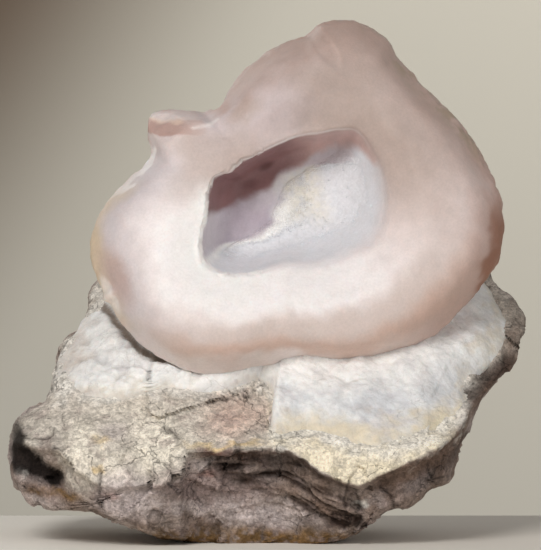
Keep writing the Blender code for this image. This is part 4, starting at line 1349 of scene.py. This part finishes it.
def facing(degrees, start, end):
    """1 near a heading and 0 away from it, eased by the cosine of the angle between."""
    return eased(np.cos(bowl_turns - np.radians(degrees)), start, end)


print("share of the points that lie behind:", behind.mean().round(2))

# %% The lip's colours
inner = (1.0 - eased(bowl_out, 0.35, 0.8)) * (1.0 - behind)
bowl_tint = patched(BOWL_TONES["pink"] + 0.0 * bowl_grid, BOWL_TONES, BOWL_PATCHES,
                    bowl_side + 1.5 * bowl_cloud, bowl_up - 1.5 * bowl_cloud)
bowl_tint = coated(bowl_tint, BOWL_TONES, [
    ("glow", 0.95 * inner * facing(250, -0.3, 0.6)),
    ("glow", 0.5 * facing(222, 0.4, 0.95) * (1.0 - eased(bowl_out, 0.5, 0.95))),
    # the dusk on the upper lip is partly its own colour and partly painted shade where it turns from
    # the light
    ("dusk", 0.85 * inner * facing(42, 0.5, 0.95)),
    ("dusk", 0.6 * inner * facing(152, 0.8, 0.99)),
])
arcs = np.stack([4.0 * np.cos(bowl_turns), 4.0 * np.sin(bowl_turns), 14.0 * bowl_out], axis=-1)
bowl_tint = bowl_tint * (1.0 + 0.02 * (1.0 - behind) * layered(arcs, 1.0, 3, 265)
                         + 0.02 * layered(bowl_grid, 1.6, 3, 266))[..., None]
print("the lip's mean tint:", bowl_tint.mean(axis=(0, 1)).round(2))

# %% The edge's colours
low_edge = eased(bowl_out, 0.62, 0.8) * (1.0 - 0.7 * eased(bowl_out, 0.82, 0.96))
left_break = (bowl_fresh * eased(bowl_up, -4.0, 0.0) * (1.0 - eased(bowl_up, 9.0, 11.5))
              * eased(-bowl_side, 14.0, 18.0))
bowl_tint = coated(bowl_tint, BOWL_TONES, [
    ("rose", 0.8 * eased(bowl_out, 0.5, 1.0) * facing(70, 0.2, 0.85)),
    ("blush", 0.9 * eased(bowl_out, 0.45, 0.8) * facing(215, 0.2, 0.9)),
    # shade and peach are painted shade where the lower lip turns down from the light, over the edge's
    # own peach
    ("shade", 0.9 * eased(bowl_out, 0.34, 0.55) * facing(284, 0.3, 0.8)),
    ("peach", 0.9 * low_edge * facing(285, 0.3, 0.8)),
    # painted light on the lower rim
    ("glow", 0.4 * eased(bowl_out, 0.8, 0.95) * facing(252, 0.8, 0.97)),
    # a painted glow of light shining through the thin left edge
    ("amber", 0.9 * eased(bowl_out, 0.82, 1.0) * facing(196, 0.9, 0.99)),
    # painted shade on the flat break at the left
    ("dusk", 0.8 * left_break),
    # a painted highlight along the upper left shoulder
    ("chip_and_highlight", 0.7 * eased(bowl_out, 0.975, 1.0) * facing(165, 0.96, 0.99) * lip_front),
    # the right edge's own brown and umber, darkened further as painted shade where it turns from the
    # light
    ("brown", 0.8 * eased(bowl_out, 0.7, 1.0) * facing(-15, 0.72, 0.96)),
    ("umber", 0.8 * eased(bowl_out, 0.92, 1.0) * facing(-20, 0.92, 0.99)),
])
bowl_tint = patched(bowl_tint, BOWL_TONES, [LEFT_SCAR], bowl_side, bowl_up, 0.2, 1.2)
print("with the edge:", bowl_tint.mean(axis=(0, 1)).round(2))

# %% The back's colours
moss = (eased(layered(bowl_grid, 2.0, 4, 275), -0.2, 0.5) * eased(bowl_ring, 7.4, 8.2)
        * eased(bowl_side, 8.0, 20.0) * eased(bowl_up, 2.0, 10.0))
bowl_tint = coated(bowl_tint, BOWL_TONES, [
    ("rose", 0.35 * behind * eased(bowl_up, -8.0, 12.0)),
    ("brown", 0.5 * eased(layered(bowl_grid, 3.0, 4, 271), 0.0, 0.7) * eased(bowl_ring, 7.8, 9.0)),
    ("lilac", 0.6 * eased(layered(bowl_grid, 9.0, 4, 273), 0.0, 0.5) * behind),
    ("amber", 0.45 * eased(layered(bowl_grid, 4.0, 5, 277), 0.25, 0.45) * behind),
    ("brown", 0.75 * eased(-bowl_lumps, 0.05, 1.0) * behind),
    ("glow", 0.35 * eased(bowl_lumps, 0.3, 1.2) * behind),
    ("moss", 0.45 * moss),
])
print("with the back:", bowl_tint.mean(axis=(0, 1)).round(2))

# %% [markdown]
# ### The chipped corner and the rim
#
# The corner at the upper left shows a darker band of fresh stone between two bright
# lines, which are painted highlights along its edges, and the edges of the breaks above
# it get painted highlight too. The rim of the hollow has a thin bright edge where it is
# sharp. They are narrow marks on the front of the lip, so they are laid last, and the
# hollow's own colours after them.

# %% The corner and the rim
ripple = 0.2 * drift(bowl_grid, 1.5, 279)
banded = 0.8 * bowl_fresh * eased(bowl_up, 11.5, 12.1) * (1.0 - eased(bowl_up, 14.2, 14.6))
banded = np.maximum(banded, lip_front * groove(bowl_side, bowl_up + 0.15 * bowl_cloud,
                                               CORNER_BAND, 1.5, 1.1))
banded = banded * mix(1.0, 0.25, eased(bowl_side, -22.0, -15.0))
lines = [(tone, (0.5 + ripple) * lip_front * groove(bowl_side, bowl_up + ripple, path, 0.5))
         for tone, path in CORNER_HIGHLIGHTS]
pale = (pressed(bowl_side, bowl_up, [(*EDGE_NUB[:2], 4.2, 0.9, 115.0, 1.0)], 0.6, 1.1)
        * (bowl_ring < WIDEST_RING))
# the band is fresh stone; the lines and the chip on the breaks' edges are painted highlights; the pale
# nub is its own colour
bowl_tint = coated(bowl_tint, BOWL_TONES, [
    ("scar", 0.85 * banded),
    *lines,
    ("chip_and_highlight", 0.2 * bowl_edges * eased(bowl_up, 13.2, 14.0)),
    ("chip_and_highlight", 0.5 * pale),
])

sharp = round_value(RIM_SHARPNESS, bowl_turns)
hollow = 1.0 - eased(bowl_ring, mix(2.8, 3.75, sharp), mix(5.2, 4.15, sharp))
bevel = eased(bowl_ring, 3.8, 4.05) * (1.0 - eased(bowl_ring + 0.5 * bowl_cloud, 4.9, 5.6))
bowl_tint = washed(bowl_tint, hollow_tint(bowl_side, bowl_up), hollow)
bowl_tint = coated(bowl_tint, BOWL_TONES, [
    ("chip_and_highlight", 0.9 * bevel * facing(208, 0.7, 0.92)),
    ("chip_and_highlight", 0.6 * np.exp(-((bowl_ring - 4.05) / 0.16) ** 2) * sharp),
])
print("with the rim:", bowl_tint.mean(axis=(0, 1)).round(2))

# %% The bowl as a piece
bowl = ringed_piece("pink_bowl_body", bowl_grid, bowl_tint)
bowl.data.materials.append(bowl_finish)
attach(bowl, "root")
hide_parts("pink_bowl")


# %% [markdown]
# ## The sugar in the hollow
#
# The floor of the hollow is lined with quartz that looks like spilt sugar: an icy sheet
# with thousands of crystal points on it, thickest along a ridge that slants from low left
# to top right. Grains scattered by a particle system would be the usual way, but the part
# needs real faces. So the sheet is another lens, set on the hollow's own skin, and the
# points are one list of corners, worked out for all crystals together.

# %% The sheet of sugar
DRUSE_CENTRE = (3.0, -1.5)
DRUSE_OUTLINE = [
    (-17.5, -8.7), (-15.1, -6.5), (-11.6, -4.7), (-8.4, -2.2), (-7.4, 0.6), (-6.0, 3.6),
    (-3.2, 6.1), (0.2, 8.0), (3.1, 9.9), (6.3, 10.3), (8.4, 8.5), (10.1, 5.4),
    (11.2, 1.5), (10.8, -2.4), (8.4, -4.5), (3.7, -6.0), (-1.6, -7.3), (-6.9, -8.7),
    (-12.1, -10.1), (-15.6, -10.4),
]


def hollow_height(side, up):
    """Height of the hollow's skin under a place on the face of the bowl."""
    turns = np.arctan2(up, side)
    rings = through_rings(bowl_rings(turns)[:6], places((5.0, 60)))
    radius = rings[..., 0]
    height = rings[..., 1]
    wanted = np.hypot(side, up)
    upper = np.maximum(np.argmax(radius > wanted, axis=0), 1)[None]
    near = np.take_along_axis(radius, upper - 1, axis=0)[0]
    far = np.take_along_axis(radius, upper, axis=0)[0]
    low = np.take_along_axis(height, upper - 1, axis=0)[0]
    high = np.take_along_axis(height, upper, axis=0)[0]
    return low + (high - low) * (wanted - near) / (far - near)


def druse_surface(turns, count):
    """The sheet: the hollow's skin lifted by the white crust, thickest just past its border."""
    edge = reach(DRUSE_OUTLINE, turns)
    share, on_top = lens_shares(count)
    side = DRUSE_CENTRE[0] + share * edge * np.cos(turns)
    up = DRUSE_CENTRE[1] + share * edge * np.sin(turns)
    skin = hollow_height(side, up)
    spot = np.stack([side, up, 0.0 * side], axis=-1)
    past = side - line_value(WHITE_BORDER, up) + 0.9 * layered(spot, 3.0, 4, 371)
    white = eased(past, -2.4, 1.6)
    crest = np.exp(-((past - 1.4) / 2.6) ** 2)
    sugar = (0.35 * knobs(spot, 2.6, 51) + 0.16 * knobs(spot, 1.2, 52)
             + 0.08 * layered(spot, 0.8, 3, 281)) * white * (0.04 + 0.96 * crest)
    thick = 0.12 + 0.3 * white + 0.5 * white * crest + sugar
    top = skin + thick * (1.0 - share ** 3) - 0.3 * share ** 8
    height = np.where(on_top, top, skin - 2.0)
    grid = np.stack([BOWL_CENTRE[0] + side, bowl_depth(side, up, height),
                     BOWL_CENTRE[2] + up], axis=-1)
    return grid, side, up


SHEET_COLUMNS = 360
SHEET_RINGS = 90
druse_grid, druse_side, druse_up = druse_surface(full_turn(SHEET_COLUMNS), SHEET_RINGS)
sheet_tint = hollow_tint(druse_side, druse_up)
print("the sheet's front lies", druse_grid[..., 1].min().round(1), "mm from the middle plane")

# %% [markdown]
# ### The crystal points
#
# Quartz grows in six-sided points. Under a lens each grain of the sugar is one, a few
# tenths of a millimetre wide, leaning its own way. They stand where the sheet is white
# and crowd on its ridge. Each is thirteen corners: a ring sunk in the sheet, a ring at its
# waist and a tip, so 2,400 of them cost no more than the sheet itself.

# %% The crystal points
CRYSTAL_COUNT = 2400
CRYSTAL_CORNERS = 13
OUTER_ROW = 80
CHOICES_EACH = 4
dice = np.random.default_rng(7)


def crystal_places(count):
    """Rows and columns of the sheet's grid where crystals stand, by weighted chance.

    Crystals are likelier on the white sugar and on its ridge, and in the outer rows, whose
    grid squares are larger.
    """
    rows = dice.integers(2, OUTER_ROW, count * CHOICES_EACH)
    columns = dice.integers(0, druse_grid.shape[1], count * CHOICES_EACH)
    side = druse_side[rows, columns]
    up = druse_up[rows, columns]
    past = side - line_value(WHITE_BORDER, up)
    weight = (0.003 + np.exp(-((past - 1.2) / 1.8) ** 2)) * (rows + 2) / SHEET_RINGS
    chosen = np.argsort(dice.random(count * CHOICES_EACH) ** (1.0 / weight))[-count:]
    return rows[chosen], columns[chosen]


def crystal_points(rows, columns):
    """Six-sided crystals: a foot ring, a waist ring and a tip each, leaning by chance."""
    count = len(rows)
    foot = druse_grid[rows, columns][:, None]
    lean = outward(druse_grid)[rows, columns] + dice.normal(0.0, 0.22, (count, 3))
    lean = lean / np.linalg.norm(lean, axis=1, keepdims=True)
    aside = np.cross(lean, dice.normal(0.0, 1.0, (count, 3)))
    aside = aside / np.linalg.norm(aside, axis=1, keepdims=True)
    beside = np.cross(lean, aside)
    lean = lean[:, None]
    width = dice.uniform(0.07, 0.2, (count, 1, 1))
    tall = width * dice.uniform(0.3, 0.9, (count, 1, 1))
    angle = (np.arange(6) * np.pi / 3.0)[None, :, None]
    ring = width * (np.cos(angle) * aside[:, None] + np.sin(angle) * beside[:, None])
    base = foot - 0.2 * lean + ring
    waist = foot + tall * 0.6 * lean + ring
    tip = foot + (tall * 0.6 + width) * lean
    return np.concatenate([base, waist, tip], axis=1).reshape(-1, 3)


def crystal_faces(count):
    """Corner numbers of each crystal's six sides and six tip faces; its foot is open."""
    start = (np.arange(count) * CRYSTAL_CORNERS)[:, None]
    here = np.arange(6)
    ahead = (here + 1) % 6
    sides = np.stack([start + here, start + ahead, start + 6 + ahead, start + 6 + here], axis=-1)
    tips = np.stack([start + 6 + here, start + 6 + ahead, start + 12 + 0 * here], axis=-1)
    return sides.reshape(-1, 4), tips.reshape(-1, 3)


crystal_rows, crystal_columns = crystal_places(CRYSTAL_COUNT)
crystal_corners = crystal_points(crystal_rows, crystal_columns)
crystal_sides, crystal_tips = crystal_faces(CRYSTAL_COUNT)
crystal_tints = np.repeat(sheet_tint[crystal_rows, crystal_columns], CRYSTAL_CORNERS, axis=0)
crystal_tints = np.minimum(crystal_tints * 1.04, 1.0)
print(CRYSTAL_COUNT, "crystals have", len(crystal_corners), "corners")

# %% Sheet and crystals as one piece
# Edges that turn by more than this stay sharp, so the crystals keep their flat faces
SHARP_EDGE = np.radians(35.0)
sheet_quads, sheet_triangles = ring_faces(*druse_grid.shape[:2])
sheet_corners = with_poles(druse_grid)
first = len(sheet_corners)
druse = loose_mesh("sugary_crust", np.concatenate([sheet_corners, crystal_corners]) + STAND_SHIFT,
                   np.concatenate([sheet_quads, crystal_sides + first]),
                   np.concatenate([sheet_triangles, crystal_tips + first]),
                   np.concatenate([with_poles(sheet_tint), crystal_tints]))
druse.data.set_sharp_from_angle(angle=SHARP_EDGE)
druse.data.materials.append(druse_finish)
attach(druse, "root")
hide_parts("hollow_druse")

# %% [markdown]
# ## Floor and backdrop
#
# The piece stands on a plain pale floor with a plain backdrop behind it. A curved sweep
# would hide the line between the two, but a line gives the eye a level, so the floor ends
# close behind the piece. From there a second sheet falls away gently, out of the camera's
# sight, so the piece still has ground round it when it is seen from behind. The backdrop
# stands further off than any of those views. Its paper is painted darker to the upper
# left, and the floor's a little darker to the right, as painted shade where light falls off.

# %% Paper that darkens one way
def shaded_paper(name, light, dark, direction, start, end):
    """Matt paper painted darker evenly in one direction, between two places in millimetres: painted
    shade where light falls off.
    """
    finish, tree, shader = new_finish(name)
    along = node(tree, "VectorMath", Vector=node(tree, "TexCoord").outputs["Object"])
    along.operation = "DOT_PRODUCT"
    along.inputs[1].default_value = direction
    share = node(tree, "MapRange", Value=along.outputs["Value"], From_Min=start * MM,
                 From_Max=end * MM)
    share.interpolation_type = "SMOOTHSTEP"
    blend = node(tree, "Mix")
    blend.data_type = "RGBA"
    blend.inputs["A"].default_value = (*light, 1.0)
    blend.inputs["B"].default_value = (*dark, 1.0)
    tree.links.new(share.outputs["Result"], blend.inputs["Factor"])
    tree.links.new(blend.outputs["Result"], shader.inputs["Base Color"])
    shader.inputs["Roughness"].default_value = 0.9
    return finish


# painted shade: the floor darkens to the right and the backdrop to the upper left
floor_finish = shaded_paper("pale_floor", paint(253, 249, 240), paint(238, 232, 222),
                            (1.0, 0.0, 0.0), -60.0, 90.0)
back_finish = shaded_paper("plain_backdrop", paint(226, 221, 208), paint(112, 94, 78),
                           (-0.8, 0.0, 0.6), 30.0, 174.5)
print("papers:", floor_finish.name, back_finish.name)

# %% The three sheets
# Each edge of a sheet is given by how far back it lies and how high
FLOOR_HALF_WIDTH = 1500.0
FLOOR_FRONT = (-1500.0, 0.0)
FLOOR_FAR = (47.0, 0.0)
FALL_END = (1500.0, -140.0)
BACKDROP_HALF_WIDTH = 3000.0
BACKDROP_AT = 2100.0
BACKDROP_FOOT = -1200.0
BACKDROP_TOP = 2300.0


def flat_sheet(name, half_width, near, far, finish):
    """One flat four-cornered sheet for the stage, from its near edge to its far edge."""
    corners = [(-half_width, *near), (half_width, *near), (half_width, *far), (-half_width, *far)]
    mesh = bpy.data.meshes.new(name)
    mesh.from_pydata([tuple(value * MM for value in corner) for corner in corners], [],
                     [(0, 1, 2, 3)])
    mesh.materials.append(finish)
    sheet = bpy.data.objects.new(name, mesh)
    bpy.context.scene.collection.objects.link(sheet)
    return sheet


floor = flat_sheet("floor", FLOOR_HALF_WIDTH, FLOOR_FRONT, FLOOR_FAR, floor_finish)
fall = flat_sheet("floor_behind", FLOOR_HALF_WIDTH, FLOOR_FAR, FALL_END, floor_finish)
backdrop = flat_sheet("backdrop", BACKDROP_HALF_WIDTH, (BACKDROP_AT, BACKDROP_FOOT),
                      (BACKDROP_AT, BACKDROP_TOP), back_finish)
print("the backdrop stands", round(BACKDROP_AT), "mm behind the piece")

# %% [markdown]
# ## Light
#
# One large soft lamp stands high on the left in front, so the upper left rim throws its
# shadow into the hollow. A weak, wide lamp on the right opens the shadows, and another
# behind gives the back of the piece some shape. The fourth faces the backdrop. A faint
# warm glow from all round does what pale walls would do.

# %% Light
PIECE_MIDDLE = (0.0, 0.0, 45.0)
WALL_GLOW = 0.24
# Each lamp: its place, its aim, its width, its power in watts and its colour
LAMPS = {
    "key": ((-220.0, -530.0, 420.0), PIECE_MIDDLE, 260.0, 2.55, (1.0, 0.97, 0.94)),
    "fill": ((480.0, -560.0, 200.0), PIECE_MIDDLE, 500.0, 1.0, (0.97, 0.98, 1.0)),
    "rear": ((-350.0, 800.0, 350.0), PIECE_MIDDLE, 400.0, 0.9, (1.0, 0.98, 0.95)),
    "back": ((508.0, 1448.0, 753.0), (122.0, BACKDROP_AT, 20.0), 609.0, 8.2,
             (1.0, 0.985, 0.955)),
}


def soft_lamp(name, place, aim, width, power, colour):
    """A square lamp at a place, in millimetres, that shines towards an aim."""
    lamp = bpy.data.lights.new(name, "AREA")
    lamp.shape = "SQUARE"
    lamp.size = width * MM
    lamp.energy = power
    lamp.color = colour
    holder = bpy.data.objects.new(name, lamp)
    holder.location = [value * MM for value in place]
    towards = (np.array(aim) - np.array(place)) * MM
    holder.rotation_euler = Vector(towards).to_track_quat("-Z", "Y").to_euler()
    bpy.context.scene.collection.objects.link(holder)


for lamp_name, settings in LAMPS.items():
    soft_lamp(lamp_name, *settings)
world = bpy.data.worlds.new("soft_room")
world.use_nodes = True
world.node_tree.nodes["Background"].inputs["Color"].default_value = (0.98, 0.96, 0.93, 1.0)
world.node_tree.nodes["Background"].inputs["Strength"].default_value = WALL_GLOW
bpy.context.scene.world = world
bpy.context.scene.view_settings.view_transform = "Standard"
print("lamps:", list(LAMPS))

# %% [markdown]
# ## Camera
#
# Small things are photographed from far off with a long lens, which keeps their shape
# true. The lens is fixed here, and the distance follows from how much height the picture
# takes in. The camera looks down very slightly.

# %% Camera
LENS = 450.0
SENSOR = 36.0
VIEW_HEIGHT = 96.25
VIEW_MIDDLE = (0.09 + STAND_SHIFT[0], 45.9)
LOOK_DOWN = np.radians(2.5)
distance = VIEW_HEIGHT * LENS / SENSOR
lens_holder = bpy.data.cameras.new("camera")
lens_holder.lens = LENS
lens_holder.sensor_width = SENSOR
lens_holder.clip_start = 0.01
lens_holder.clip_end = 10.0
camera = bpy.data.objects.new("camera", lens_holder)
camera.location = (VIEW_MIDDLE[0] * MM, -distance * np.cos(LOOK_DOWN) * MM,
                   (VIEW_MIDDLE[1] + distance * np.sin(LOOK_DOWN)) * MM)
camera.rotation_euler = (np.pi / 2.0 - LOOK_DOWN, 0.0, 0.0)
bpy.context.scene.collection.objects.link(camera)
bpy.context.scene.camera = camera
print("camera stands", round(distance), "mm away")
